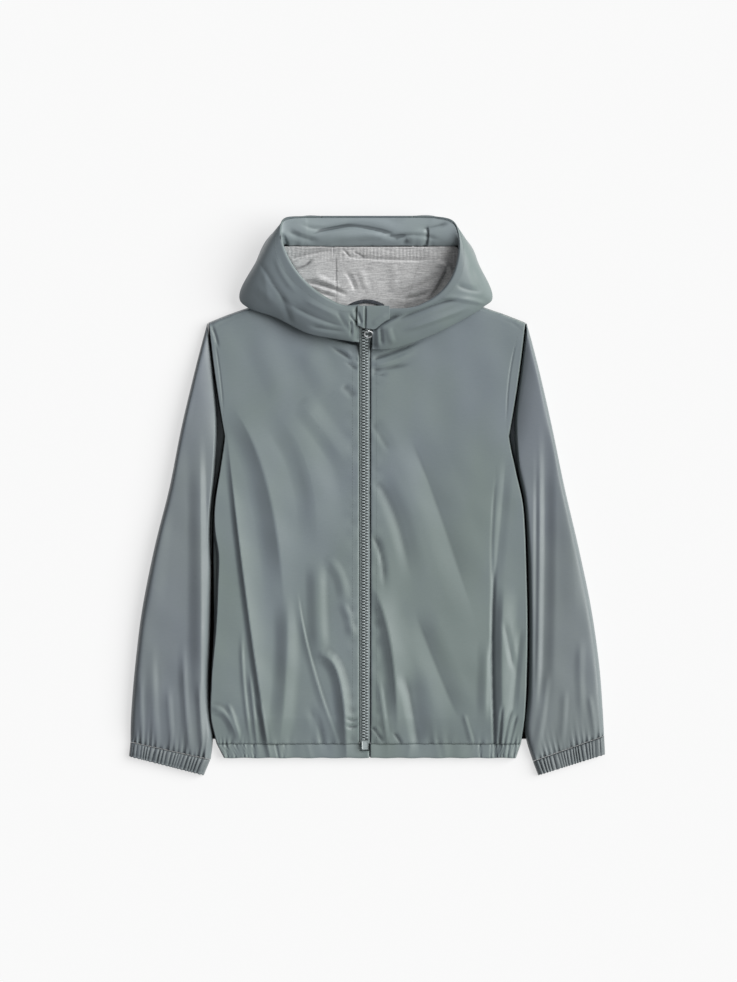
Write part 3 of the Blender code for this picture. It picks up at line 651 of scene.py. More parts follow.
def side_rounding(x, y):
    """How far a body cloth has risen from its side edge, from 0 to 1: a low shelf, then a steep step."""
    parts = {}
    for side, column in SIDE_NAME.items():
        room = edge_x(side, y) - np.abs(x)
        width = read_column(SIDE_ROLL, "y", column, y)
        shelf = SHELF * roll(room, SHELF_ROLL)
        step = ease(width - np.minimum(STEP, width), width, room)
        parts[side] = shelf + (1 - shelf) * step
    return np.where(x < ZIP_X, parts[RIGHT], parts[LEFT])


def shoulder_y(x):
    return read_column(TOP_EDGE[:SHOULDER_ROWS], "x", "y", x)


# %% [markdown]
# The creases of the two fronts, from the wearer's right side to the left. A trough has a negative lift. The
# right front hangs in folds from the armpit, each rising to a crisp crest and falling away gently beyond it.
# The left front has crisp valleys that run down from the zip, where the stiff tape holds the edge.

# %% Creases of the fronts
FRONT_CREASES = [
    Crease(-142, 84, -117.2, -128, -84, -340, 6.0, 26, 3.2, 1.0),
    Crease(-137, 92, -99, 8, -82, -130, 20, 36, 3.6, 0.8),
    Crease(-81, -90, -80.5, -172, -90, -270, 14, 15, 2.8, 0.4),
    Crease(-98, 88, -60, 30, -50, -60, 20, 30, 2.5, 0.2),
    Crease(-68, 94, -46, 68, -14, 24, 14, 18, 1.6, 0.2),
    Crease(-70, -90, -55, -168, -23, -262, 7, 2.2, 1.1, 1.0),
    Crease(-50, -60, -49, -110, -46, -172, 13, 12, 1.9),
    Crease(-54, -164, -27, -184, -21, -300, 11, 10, 3.4, 0.8),
    Crease(-42, -62, -27, -80, -22, -112, 9, 9, 1.3, 0.3),
    Crease(-26, -104, -18, -122, -14, -146, 7, 6, 1.1, 0.4),
    Crease(-125, -130, -123, -190, -114, -262, 4, 4, 1.0, 0.8),
    Crease(-118, -170, -113.5, -214, -108, -270, 4, 5, 1.2, 0.8),
    Crease(-160, -214, -141, -219, -129, -250, 7, 6, 1.9, 0.6),
    Crease(-141, -206, -133, -223, -126, -250, 5, 5, 1.4, 0.6),
    Crease(-112, -196, -104, -226, -99, -266, 4, 4, 0.8, 0.6),
    Crease(-60, -206, -48, -232, -36, -262, 9, 8, -1.0, 0.3),
    Crease(-156, 172, -152, 161, -148, 146, 3, 3, -0.9, 0.6),
    Crease(-114, 168, -96, 132, -78, 92, 20, 24, 1.0),
    Crease(-62, 152, -50, 126, -36, 98, 16, 20, 0.9),
    Crease(-40, 152, -18, 139, -8, 134, 4, 4, -1.6, 0.6),
    Crease(-22, 146, -15, 138, -7, 130, 3, 3, 1.2, 0.5),
    Crease(-22, 136, -15, 130, -9, 127, 3, 3, -0.9, 0.5),
    Crease(-25, 112, -18, 105, -11, 97, 7, 7, -0.9),
    Crease(5, 137, 22, 142, 60, 157, 3, 4, -2.0, 0.7),
    Crease(5, 131, 22, 134, 52, 146, 4, 4, 1.2, 0.5),
    Crease(4, 127, 18, 127, 48, 134, 4, 4, -1.2, 0.5),
    Crease(4, 122, 11, 121, 22, 122, 3, 4, -1.1, 0.4),
    Crease(2, 76, 13, 61, 25, 40, 7, 12, -0.9, 0.4),
    Crease(40, 66, 72, -14, 112, -136, 22, 26, -2.3, 0.7),
    Crease(4, 22, 28, -18, 46, -92, 12, 18, -2.0, 0.4),
    Crease(3, -36, 14, -58, 18, -100, 6, 7, -1.4, 0.8),
    Crease(3, -84, 24, -150, 30.5, -250, 12, 22, 3.4, 0.9),
    Crease(36, -172, 46, -215, 54, -268, 10, 22, -2.8, 0.4),
    Crease(4, -230, 9, -236, 17, -248, 2.5, 3, -1.4, 0.6),
    Crease(26, -235, 31, -242, 36, -250, 3, 3, -1.2, 0.5),
    Crease(-23, -221, -15, -224, -7, -222, 2.5, 2.5, -1.2, 0.6),
    Crease(-23, -229, -15, -231, -7, -229, 2.5, 2.5, -1.2, 0.6),
    Crease(11, -180, 16, -214, 22, -262, 6, 5, 1.2, 0.8),
    Crease(46, -108, 68, -166, 98, -236, 20, 20, -2.5, 0.6),
    Crease(139, 44, 134, -26, 124, -120, 6, 9, -0.8, 0.4),
    Crease(129, -62, 125, -160, 131, -330, 2.6, 4, -2.0, 0.8),
    Crease(138, -84, 135, -170, 139, -330, 9.5, 16, 3.0, 0.3),
    Crease(136, -120, 142, -150, 148, -180, 5, 6, -1.1, 0.5),
    Crease(154, -128, 150, -172, 142, -250, 6, 6, -0.9, 0.4),
    Crease(120, -140, 119, -184, 118, -232, 10, 5, 1.4, 0.2),
    Crease(96, -216, 101, -232, 108, -256, 4, 4, 1.0, 0.9),
    Crease(136, -206, 133.5, -230, 132, -266, 3, 3, -1.4, 0.6),
    Crease(146, -212, 140, -232, 136, -262, 3, 3, -1.4, 0.6),
    Crease(151, -216, 146, -234, 142, -258, 3, 3, -1.2, 0.6),
]

# %% [markdown]
# Seams pull the cloth into a shallow groove. The hem's seam also gathers it: the elastic in the hem sits at
# the two sides, so the gathers are strong there and only faint along the plain middle.

# %% Height of the fronts
SeamRow = namedtuple("SeamRow", "x0 y0 x1 y1 x2 y2 half depth")
FRONT_SEAMS = [
    SeamRow(151, 160, 142, 116, 140, 66, 1.6, 0.35),
    SeamRow(-153, 160, -147, 122, -143, 80, 1.6, 0.35),
    SeamRow(130, 30, 125, -44, 127, -110, 2.4, 0.5),
    SeamRow(112, 185, 138, 177, 156, 165, 1.6, 0.6),
    SeamRow(-113, 185, -136, 177, -155, 166, 1.6, 0.6),
]
SEAM_CREASES = [Crease(*row[:6], row.half, row.half, -row.depth) for row in FRONT_SEAMS]
ELASTIC_RUN = 34.0     # from the side seam to the end of the hem's elastic
GATHER_PITCH = 4.6
PLACKET_TURN = 0.4     # how far the folded edge beside the zip rolls down


def wander(x):
    """The unevenness of the hem's pleats, added to their phase."""
    return 2.2 * np.sin(x / 6.1) + 1.3 * np.sin(x / 3.7 + 1)


def zip_inset(x):
    """Distance from the folded edge beside the zip."""
    return np.where(x < ZIP_X, ZIP_EDGE[RIGHT] - x, x - ZIP_EDGE[LEFT])


def hem_gathers(x, y):
    """Small pleats above the hem's seam, strongest over the elastic at the sides."""
    side_room = np.where(x < ZIP_X, edge_x(RIGHT, y), edge_x(LEFT, y)) - np.abs(x)
    elastic = 1 - ease(0.55 * ELASTIC_RUN, ELASTIC_RUN, side_room)
    above = np.maximum(y - HEM_SEAM_Y, 0.0)
    phase = 2 * np.pi * (x + 0.2 * above * np.sin(x / 9.0)) / GATHER_PITCH + wander(x)
    tight = (0.5 + 0.35 * np.sin(x / 3.3)) * np.exp(-above / (5 + 3 * np.sin(x / 5.3)))
    loose = (0.25 + 0.22 * np.sin(x / 8.7)) * np.exp(-above / (8 + 4 * np.sin(x / 11.0)))
    return elastic * tight * np.sin(phase) + (1 - elastic) * loose * np.sin(phase * 0.43)


def placket_pucker(x, y):
    """The stitched edge beside the zip draws up in short waves."""
    band = np.exp(-((zip_inset(x) - 6.0) / 5.0) ** 2)
    return 0.3 * band * np.sin(y / 2.9 + 2.0 * np.sin(y / 17.0)) * np.sin(y / 31.0 + x / 40.0)


def front_z(x, y):
    """Height of the fronts' outer face above the table."""
    rounding = side_rounding(x, y)
    past_neck = np.abs(x) > TOP_EDGE[SHOULDER_ROWS - 1].x
    rounding = np.where(past_neck, rounding * roll(shoulder_y(np.abs(x)) - y, SHOULDER_ROLL), rounding)
    rise = read_column(LOFT, "y", "rise", y)
    rise = rise - PLACKET_TURN * (1 - roll(zip_inset(x), 2 * PLACKET_TURN))
    folds = crease_lift(FRONT_CREASES, x, y) + ripple(x, y)
    folds = folds + hem_gathers(x, y) + placket_pucker(x, y)
    return EDGE_Z + rounding * (rise + folds + crease_lift(SEAM_CREASES, x, y))


# %% [markdown]
# A front is a patch between four edges: its points are blended from the side, zip, hem and top curves, so
# the grid follows the pattern's outline. The columns stand closer at the side, where the cloth rolls over.

# %% Fronts
FRONT_COLUMNS, FRONT_ROWS = 130, 256
CROWD = 1.25           # above 1, the columns stand closer at the side
HEM_LAP = 0.5          # the fronts lap over the rounded edge of the hem's channel


def front_points(side):
    across, along = shares(FRONT_COLUMNS, FRONT_ROWS)
    across = across ** CROWD
    foot_y, last = HEM_SEAM_Y - HEM_LAP, len(TOP_EDGE) - 1
    side_y = between(foot_y, SHOULDER_TIP[1], along)
    side_x = side * edge_x(side, side_y)
    zip_x, zip_y = ZIP_EDGE[side], between(foot_y, NECK_Y, along)
    top = table_at(TOP_EDGE, across * last)
    top_share = (top[..., 0] - TOP_EDGE[last].x) / (SHOULDER_TIP[0] - TOP_EDGE[last].x)
    top_x, top_y = between(zip_x, side * SHOULDER_TIP[0], top_share), top[..., 1]
    foot_x = between(side * edge_x(side, foot_y), zip_x, across)
    corner_x = between(foot_x, between(side * SHOULDER_TIP[0], zip_x, across), along)
    corner_y = between(foot_y, between(SHOULDER_TIP[1], NECK_Y, across), along)
    x = between(foot_x, top_x, along) + between(side_x, zip_x, across) - corner_x
    y = between(foot_y, top_y, along) + between(side_y, zip_y, across) - corner_y
    return np.stack([x, y, front_z(x, y)], axis=-1)


for side in (RIGHT, LEFT):
    name = f"front_{SIDE_NAME[side]}"
    front = cloth(f"{name}_cloth", front_points(side), body_taffeta, flip=side == LEFT)
    dress(front, name)

# %% [markdown]
# The hem is a channel turned up round an elastic. Each front hem is a flat closed roll: rings of points that
# follow the seam above and stand in pleats over the elastic. The back's hem lies flat on the table below.

# %% Front hems
HEM_ROLL = 1.3         # half the thickness of the channel
HEM_RINGS, HEM_RING = 190, 28
HEM_PLEAT = 0.4
HemLine = namedtuple("HemLine", "x lean half lift")
HEM_LINES = [
    HemLine(-140, 2.0, 2.0, -0.9),
    HemLine(-131.5, -1.0, 2.2, -0.8),
    HemLine(-122, 1.0, 1.8, 0.6),
    HemLine(-113.5, 1.5, 2.0, -0.9),
    HemLine(-90, 3.0, 2.4, -0.7),
    HemLine(-83, -2.0, 2.0, -0.6),
    HemLine(-58, 4.0, 5.0, 0.3),
    HemLine(42, -3.0, 6.0, 0.3),
    HemLine(74, 4.0, 5.0, -0.4),
    HemLine(113, 1.0, 2.0, -0.8),
    HemLine(124, -1.0, 1.8, -0.8),
    HemLine(129.5, 1.0, 1.6, -1.0),
    HemLine(135, 2.0, 1.6, -1.0),
    HemLine(141, -1.5, 1.8, -1.0),
    HemLine(146, 1.0, 1.6, -0.7),
]
HEM_CREASES = [
    Crease(row.x - row.lean, -240, row.x, -255, row.x + row.lean, -270, row.half, row.half, row.lift, 0.5)
    for row in HEM_LINES
]
SLIT_X, ZIP_END_Y = 2.1, -255.0        # below the zip the right hem reaches over to the left one
SLIT_RINGS = 6


def flat_oval(count):
    """A flat oval as shares of its half width and half height, and the turn at each point."""
    turn = np.linspace(0, 2 * np.pi, count, endpoint=False)
    flat_y = np.sign(np.cos(turn)) * np.abs(np.cos(turn)) ** 0.4
    flat_z = np.sign(np.sin(turn)) * np.abs(np.sin(turn)) ** 0.7
    return flat_y, flat_z, turn


def hem_points(side):
    """Rings of a hem channel from the side seam to the zip."""
    flat_y, flat_z, turn = flat_oval(HEM_RING)
    run = np.linspace(0, 1, HEM_RINGS + 1)[:, None] ** CROWD
    middle, half = (HEM_SEAM_Y + HEM_Y) / 2, (HEM_SEAM_Y - HEM_Y) / 2 - 0.15
    y = middle + half * flat_y[None, :] + 0 * run
    out = edge_x(side, y) * side
    x = between(out, ZIP_EDGE[side], run)
    if side == RIGHT:
        reach = np.linspace(0.3, SLIT_X - ZIP_EDGE[side], SLIT_RINGS)[:, None]
        x = np.concatenate([x, ZIP_EDGE[side] + reach + 0 * turn])
        y = np.concatenate([y, np.minimum(y[:SLIT_RINGS], ZIP_END_Y)])
        out = np.concatenate([out, out[:SLIT_RINGS]])
    side_room = np.abs(out - x)
    elastic = 1 - ease(0.6 * ELASTIC_RUN, ELASTIC_RUN, side_room)
    phase = 2 * np.pi * x / GATHER_PITCH + wander(x) + 0.16 * (y - middle) * np.sin(x / 4.0)
    depth = HEM_PLEAT * (0.7 + 0.4 * np.sin(x / 3.3)) * (1 - 0.4 * np.abs(flat_y))
    pleat = depth * elastic * np.sin(phase) + 0.22 * np.sin(x / 5.0 + 2 * np.sin(x / 13.0))
    pleat = pleat + 0.7 * crease_lift(FRONT_CREASES, x, y) + crease_lift(HEM_CREASES, x, y)
    rounding = side_rounding(x, y)
    top = EDGE_Z + rounding * (read_column(LOFT, "y", "rise", np.full(x.shape, middle)) + pleat)
    thick = HEM_ROLL * np.clip(rounding * 1.5, 0.35, 1.0)
    y = y + 0.25 * np.sin(x / 4.1) * (flat_y < -0.5)
    return np.stack([x, y, top - thick + thick * flat_z[None, :]], axis=-1)


for side in (RIGHT, LEFT):
    name = f"hem_{SIDE_NAME[side]}"
    hem = closed_tube(f"{name}_channel", hem_points(side), body_taffeta, flip=side == LEFT)
    dress(hem, name)

# %% [markdown]
# The back lies flat on the table under everything, so it is a plain sheet cut to the same outline, a hair
# inside it. Its hem is a flat band. Both are seen from below and through the gaps.

# %% Back and back hem
UNDER_INSET = 0.8
BACK_WALL, BACK_HEM_HALF = 1.1, 0.75
BACK_COLUMNS, BACK_ROWS = 60, 90
BACK_HEM_RING = 20


def back_points():
    across, along = shares(BACK_COLUMNS, BACK_ROWS)
    y = between(HEM_SEAM_Y + SEAM_GAP, BACK_NECK_Y, along)
    shoulder = TOP_EDGE[:SHOULDER_ROWS]
    over = np.interp(y + UNDER_INSET, [row.y for row in shoulder], [row.x for row in shoulder])
    reach = {side: np.where(y < SHOULDER_TIP[1], edge_x(side, y), over) - UNDER_INSET for side in SIDE_NAME}
    x = between(-reach[RIGHT], reach[LEFT], across)
    return np.stack([x, y, np.full(x.shape, BACK_WALL)], axis=-1)


def back_hem_points():
    flat_y, flat_z, _ = flat_oval(BACK_HEM_RING)
    run = np.linspace(0, 1, BACK_ROWS + 1)[:, None]
    foot = HEM_Y + UNDER_INSET
    middle, half = (HEM_SEAM_Y + foot) / 2, (HEM_SEAM_Y - foot) / 2 - 0.2
    y = middle + half * flat_y[None, :] + 0 * run
    x = between(UNDER_INSET - edge_x(RIGHT, y), edge_x(LEFT, y) - UNDER_INSET, run)
    return np.stack([x, y, BACK_HEM_HALF * (1 + flat_z[None, :]) + 0 * x], axis=-1)


back = cloth("back_cloth", back_points(), body_taffeta, BACK_WALL)
dress(back, "back_panel")
back_hem = closed_tube("hem_back_channel", back_hem_points(), body_taffeta)
dress(back_hem, "hem_back")

# %% [markdown]
# A sleeve is a flat tube: an arch over a level underside, drawn through sections from the armhole to the
# cuff. Where the body's edge bends away under the arm, a low flange of the sleeve closes the gap, and the
# cloth stands up from it in a fold: that valley is the dark lens beside the armhole. The creases run down the
# arm, and short gathers fan out above the cuff.

# %% Sleeve tables
SleeveRow = namedtuple("SleeveRow", "outer_x outer_y inner_x inner_y height bow")
FoldEdge = namedtuple("FoldEdge", "y x")
SLEEVE = {
    RIGHT: [
        SleeveRow(160, 173.0, 143.2, 60.0, 10.0, ARMHOLE_BOW),
        SleeveRow(166, 151, 145.2, 47, 13.0, 0.0),
        SleeveRow(174.8, 116, 148.0, 28, 15.3, 0.0),
        SleeveRow(186.5, 66, 153.4, -4, 16.0, 0.0),
        SleeveRow(198, 8, 155.6, -50, 16.0, 0.0),
        SleeveRow(213, -52, 156.4, -100, 16.0, 0.0),
        SleeveRow(225.5, -115, 157.2, -150, 15.5, 0.0),
        SleeveRow(232.5, -172, 158.0, -196, 15.0, 0.0),
        SleeveRow(236.3, -218, 154.4, -240, 13.5, 0.0),
        SleeveRow(237, -246, 156.6, -263.6, 9.0, 0.0),
    ],
    LEFT: [
        SleeveRow(160, 173.0, 143.0, 60.0, 10.0, ARMHOLE_BOW),
        SleeveRow(166, 151, 145.6, 46, 13.0, 0.0),
        SleeveRow(174.8, 116, 150.2, 26, 15.3, 0.0),
        SleeveRow(186, 66, 157.2, -6, 16.0, 0.0),
        SleeveRow(198, 8, 160.4, -52, 16.0, 0.0),
        SleeveRow(212, -52, 161.7, -102, 16.0, 0.0),
        SleeveRow(224.5, -112, 161.9, -150, 15.5, 0.0),
        SleeveRow(232.5, -168, 161.0, -196, 15.0, 0.0),
        SleeveRow(236, -212, 158.0, -235, 13.5, 0.0),
        SleeveRow(237.5, -240, 166, -265.4, 9.0, 0.0),
    ],
}
ARM_FOLD = {
    RIGHT: [
        FoldEdge(176, 159.0),
        FoldEdge(130, 154.0),
        FoldEdge(76, 150.0),
        FoldEdge(22, 152.4),
        FoldEdge(-24, 156.4),
        FoldEdge(-60, 156.5),
        FoldEdge(-90, 153.0),
    ],
    LEFT: [
        FoldEdge(176, 159.0),
        FoldEdge(130, 154.0),
        FoldEdge(76, 148.0),
        FoldEdge(22, 151.0),
        FoldEdge(-24, 157.0),
        FoldEdge(-60, 159.2),
        FoldEdge(-90, 158.0),
    ],
}
SLEEVE_CREASES = {
    RIGHT: [
        Crease(-168, 70, -166, -80, -167, -262, 14, 7, 2.6, 0.2),
        Crease(-184, -140, -181, -215, -174, -272, 6, 9, 1.5, 0.7),
        Crease(-199, -186, -197, -225, -192, -266, 5, 6, 0.9, 0.5),
        Crease(-214, -140, -213, -212, -208, -266, 9, 7, 1.0, 0.3),
        Crease(-226, -176, -226, -215, -224, -258, 5, 5, 0.7, 0.4),
        Crease(-168, -180, -166, -225, -162, -274, 5, 5, 1.2, 0.5),
        Crease(-180, 150, -181, 110, -190, 60, 12, 12, 0.9),
        Crease(-205, 10, -212, -60, -216, -130, 14, 16, 0.9, 0.2),
    ],
    LEFT: [
        Crease(169.5, 60, 169, -90, 167, -220, 4, 4, -0.9, 0.2),
        Crease(177.6, 90, 178, -90, 174, -240, 7, 12, -2.1, 0.1),
        Crease(181, -170, 176, -215, 168, -266, 7, 6, 1.0, 0.3),
        Crease(214, -140, 213, -180, 216, -234, 6, 7, 0.8, 0.4),
        Crease(221, -196, 225, -218, 229, -250, 4, 5, 0.8, 0.5),
        Crease(198, -190, 197, -220, 194, -258, 6, 5, 0.8, 0.4),
        Crease(180, 150, 182, 110, 190, 50, 10, 12, -0.9),
        Crease(200, 20, 205, -60, 210, -130, 16, 14, 0.8, 0.2),
    ],
}

# %% [markdown]
# The tube's points run over the arch and back along the underside, ring after ring. Near the cuff's seam the
# cloth is pulled down and gathered, and each gather fades after a length of its own, as elastic leaves it.

# %% Sleeves
SLEEVE_TOP, SLEEVE_UNDER, SLEEVE_ROWS = 76, 14, 232
ARCH_SHOULDER, ARCH_EDGE = 18.0, 0.5
ARM_FOLD_ROLL, FLANGE = 2.5, 0.03      # the rise behind the flange, and the flange's share of the height
FLANGE_END = (-96, -60)                # the flange fades out between these places
CUFF_DIP, CUFF_DIP_RUN = 1.0, 2.2      # the seam to the cuff draws the cloth down
CUFF_PULL = 15                         # gathers across the end of a sleeve


def arch(along):
    return (1 - np.abs(along) ** ARCH_SHOULDER) ** ARCH_EDGE


def cuff_gathers(side, centre, left_over):
    """Pleats above the cuff seam, each fading after its own length."""
    uneven = 1.4 * np.sin(9.0 * centre + side) + 0.6 * np.sin(23 * centre)
    length = 5.5 + 3.5 * np.sin(17 * centre + 2 * side)
    depth = 1.5 + 0.6 * np.sin(31 * centre + side)
    return depth * np.exp(-left_over / length) * np.sin(2 * np.pi * CUFF_PULL * centre + uneven)


def sleeve_points(side):
    turn = np.concatenate([
        np.linspace(0, np.pi, SLEEVE_TOP + 1),
        np.linspace(np.pi, 2 * np.pi, SLEEVE_UNDER + 1)[1:-1],
    ])
    along = np.cos(turn)[None, :]
    over = (turn < np.pi + 1e-6)[None, :]
    down = np.linspace(0, 1, SLEEVE_ROWS + 1)
    rows = SLEEVE[side]
    outer_x, outer_y, inner_x, inner_y, height, bow = (
        column[:, None] for column in table_at(rows, down * (len(rows) - 1)).T
    )
    centre = (1 - along) / 2
    x = side * (between(outer_x, inner_x, centre) - bow_out(centre, bow))
    y = between(outer_y, inner_y, centre)
    end_x = side * between(rows[-1].outer_x, rows[-1].inner_x, centre)
    end_y = between(rows[-1].outer_y, rows[-1].inner_y, centre)
    left_over = np.hypot(x - end_x, y - end_y)
    folds = crease_lift(SLEEVE_CREASES[side], x, y) + ripple(x, y)
    folds = folds + cuff_gathers(side, centre, left_over) - CUFF_DIP * np.exp(-left_over / CUFF_DIP_RUN)
    fold_x = read_column(ARM_FOLD[side], "y", "x", y)
    valley = np.maximum(roll(np.abs(x) - fold_x, ARM_FOLD_ROLL), FLANGE)
    valley = between(1.0, valley, ease(*FLANGE_END, y))
    z = np.where(over, arch(along) * (height + folds) * valley, 0.0)
    return np.stack([x, y, np.maximum(z, 0.0)], axis=-1)


for side in (RIGHT, LEFT):
    name = f"sleeve_{SIDE_NAME[side]}"
    sleeve = cloth(f"{name}_cloth", sleeve_points(side), sleeve_taffeta, wrap=True, flip=side == RIGHT)
    dress(sleeve, name)

# %% [markdown]
# A cuff is a short tube drawn up by its elastic into some twenty pleats. They are uneven: the phase wanders
# from pleat to pleat and the depth changes, and both seams hold the pleats flatter than the middle does.

# %% Cuffs
CUFF = {
    RIGHT: [
        SleeveRow(237, -246.6, 157.0, -264.2, 9.0, 0.0),
        SleeveRow(238.5, -260.5, 163.5, -279.5, 8.6, 0.0),
    ],
    LEFT: [
        SleeveRow(237.6, -240.6, 166.2, -266.0, 9.0, 0.0),
        SleeveRow(238.5, -258.5, 171.5, -279.5, 8.6, 0.0),
    ],
}
CUFF_WALL = 0.9
CUFF_PLEATS = 22
CUFF_COLUMNS, CUFF_UNDER, CUFF_ROWS = 200, 16, 14


def cuff_points(side):
    even = np.linspace(-1, 1, CUFF_COLUMNS + 1)
    across = 0.5 + 0.5 * between(even, np.sin(even * np.pi / 2), 0.35)
    centre = np.concatenate([across, np.linspace(1, 0, CUFF_UNDER + 1)[1:-1]])[None, :]
    over = (np.arange(centre.shape[1]) <= CUFF_COLUMNS)[None, :]
    down = np.linspace(0, 1, CUFF_ROWS + 1)[:, None]
    row = SleeveRow(*(between(start, end, down) for start, end in zip(*CUFF[side])))
    x = side * between(row.outer_x, row.inner_x, centre)
    y = between(row.outer_y, row.inner_y, centre)
    phase = CUFF_PLEATS * centre + 0.30 * np.sin(11 * centre + side) + 0.2 * np.sin(31 * centre)
    phase = phase + 0.16 * down * np.sin(19 * centre + 2)
    depth = 1.15 + 0.45 * np.sin(13 * centre + 3 * side) + 0.25 * np.sin(37 * centre)
    held = 0.55 + 0.45 * np.sin(np.pi * down)
    pleat = depth * held * np.abs(np.sin(np.pi * phase)) ** 0.8 - 0.5 * depth
    seam = 0.7 * np.exp(-down / 0.10) + 0.5 * np.exp(-np.abs(down - 0.84) / 0.05)
    z = np.where(over, arch(1 - 2 * centre) * (row.height + pleat - seam), 0.0)
    y = y + 0.35 * over * down * np.sin(2 * np.pi * phase)
    return np.stack([x, y, np.maximum(z, 0.0)], axis=-1)


for side in (RIGHT, LEFT):
    name = f"cuff_{SIDE_NAME[side]}"
    cuff = cloth(f"{name}_elastic", cuff_points(side), shaded_cuff_taffeta, CUFF_WALL, wrap=True, flip=side == RIGHT)
    dress(cuff, name)

# %% [markdown]
# The hood lies open like a bowl. Each side is a loft through sections that run from the rim of the face
# opening over to the outer fold and then under to the neck. The rim itself is a turned edge, so the first
# strip of the grid rolls from inside the opening up over the rim. Folds are pushed out along the normals.

# %% Hood tables
HoodRow = namedtuple(
    "HoodRow", "rim_x rim_y rim_z fold_x fold_y fold_z tuck_x tuck_y tuck_z base_x base_y base_z"
)
HOOD = {
    RIGHT: [
        HoodRow(8.0, 189.5, 36, 8.0, 153, 24, 8.0, 160, 15.5, 8.0, 168, 16),
        HoodRow(24, 189, 37, 32, 157, 25, 29, 165, 15.5, 27, 172, 16),
        HoodRow(43, 198, 39, 60, 162.5, 25, 55, 171, 15, 48, 178, 15.5),
        HoodRow(62, 213, 41, 91, 178, 22, 84, 187, 13.5, 72, 193, 13.5),
        HoodRow(77, 233, 43, 119, 188, 17, 107, 199, 6.5, 82, 201, 5),
        HoodRow(85, 253, 44, 127, 201, 14, 113, 209, 0, 62, 198.5, 0),
        HoodRow(86, 268, 44, 113, 232, 13, 100, 233, 0, 47, 208, 0),
        HoodRow(81, 276.5, 43, 94, 263, 15, 84, 257, 0, 46.5, 228, 0),
        HoodRow(64, 278, 42, 67, 278.4, 20, 64, 267, 0, 46.5, 246, 0),
        HoodRow(46, 278.4, 41, 46.5, 279.2, 19, 46.5, 268, 0, 46.5, 262, 0),
    ],
    LEFT: [
        HoodRow(5.8, 187, 36, 5.0, 146, 24, 5.8, 154, 16, 5.8, 163, 16),
        HoodRow(24, 185.5, 37, 27, 147.5, 25, 26, 157, 16, 25, 166, 16),
        HoodRow(48, 187.5, 39, 60, 158.5, 25, 55, 168, 15, 48, 176, 15.5),
        HoodRow(70, 199, 41, 92, 174, 22, 84, 184.5, 13.5, 72, 192, 13.5),
        HoodRow(84, 215, 43, 117, 189, 17, 106, 199, 6.5, 82, 201, 5),
        HoodRow(91, 235, 44, 125, 200, 14, 112, 208, 0, 62, 198.5, 0),
        HoodRow(92, 256, 44, 113, 231, 13, 100, 232, 0, 47, 208, 0),
        HoodRow(86, 273, 43, 98, 257, 15, 86, 255, 0, 46.5, 228, 0),
        HoodRow(68, 277.8, 42, 71, 278.2, 20, 66, 267, 0, 46.5, 246, 0),
        HoodRow(46, 278.4, 41, 46.5, 279.2, 19, 46.5, 268, 0, 46.5, 262, 0),
    ],
}
HOOD_CREASES = {
    RIGHT: [
        Crease(-112, 242, -92, 209, -72, 182, 4, 5, -0.9, 0.9),
        Crease(-88, 202, -80, 186, -74, 168, 8, 5, -1.0, 0.6),
        Crease(-82, 194, -50, 177, -15, 167, 5, 8, -1.6, 0.7),
        Crease(-66, 196, -46, 187, -24, 176, 5, 7, 1.0, 0.6),
        Crease(-60, 170, -40, 166, -18, 164, 4, 5, -1.3, 0.6),
        Crease(-30, 186, -23, 173, -13, 158, 4, 4, -0.7, 0.4),
        Crease(-16.5, 177, -15.6, 168, -15.4, 156, 2.0, 1.8, -2.0, 0.6),
        Crease(-17.5, 184, -12.5, 174.5, -4, 172, 2.2, 2.2, -1.9, 0.6),
        Crease(-112, 214, -100, 200, -88, 190, 9, 9, 0.7, 0.3),
        Crease(-92, 242, -84, 220, -68, 200, 4, 6, 0.8, 0.6),
        Crease(-104, 226, -100, 208, -98, 192, 5, 7, 0.5, 0.5),
    ],
    LEFT: [
        Crease(20, 171, 60, 187, 100, 199, 6, 5, -2.2, 0.7),
        Crease(70, 197, 98, 196, 124, 190, 4, 5, 1.3, 0.8),
        Crease(34, 164, 66, 175, 110, 192, 5, 6, 1.6, 0.5),
        Crease(2, 161, 17, 172.5, 38, 181, 2.6, 7, -3.0, 0.3),
        Crease(13, 170, 14, 160, 15, 148, 4, 3.5, -1.6, 0.3),
        Crease(21, 170, 23, 160, 27, 150, 5, 5, 0.9),
        Crease(104, 238, 108, 216, 117, 202, 7, 8, -0.9, 0.4),
        Crease(88, 212, 100, 206, 118, 204, 4, 6, -0.9, 0.6),
    ],
}
CREST, CREST_PLAN = 2.0, 0.7
OVER_SHARE, UNDER_SHARE = 0.55, 0.8
FACE_MIDDLE_Y, FACE_SPREAD = 236.0, 0.6
RIM_TURN = 1.5         # width of the turned edge inside the rim
RIM_DROP = 1.2
ZIP_DIP, ZIP_DIP_WIDTH = 3.0, 7.0      # the hood falls to the zip where it is sewn to the tape

# %% [markdown]
# `hood_section` draws three arcs for every section at once: over, under, and back to the neck. Creases lift
# only what shows from above; the standing wall behind the fold gets soft upright folds of its own.

# %% Hood sides
HOOD_COLUMNS, HOOD_ROWS, RIM_ROWS = 150, 84, 6
HOOD_WALL = 0.9
WALL_FOLD = 0.8        # height of the folds in the standing wall


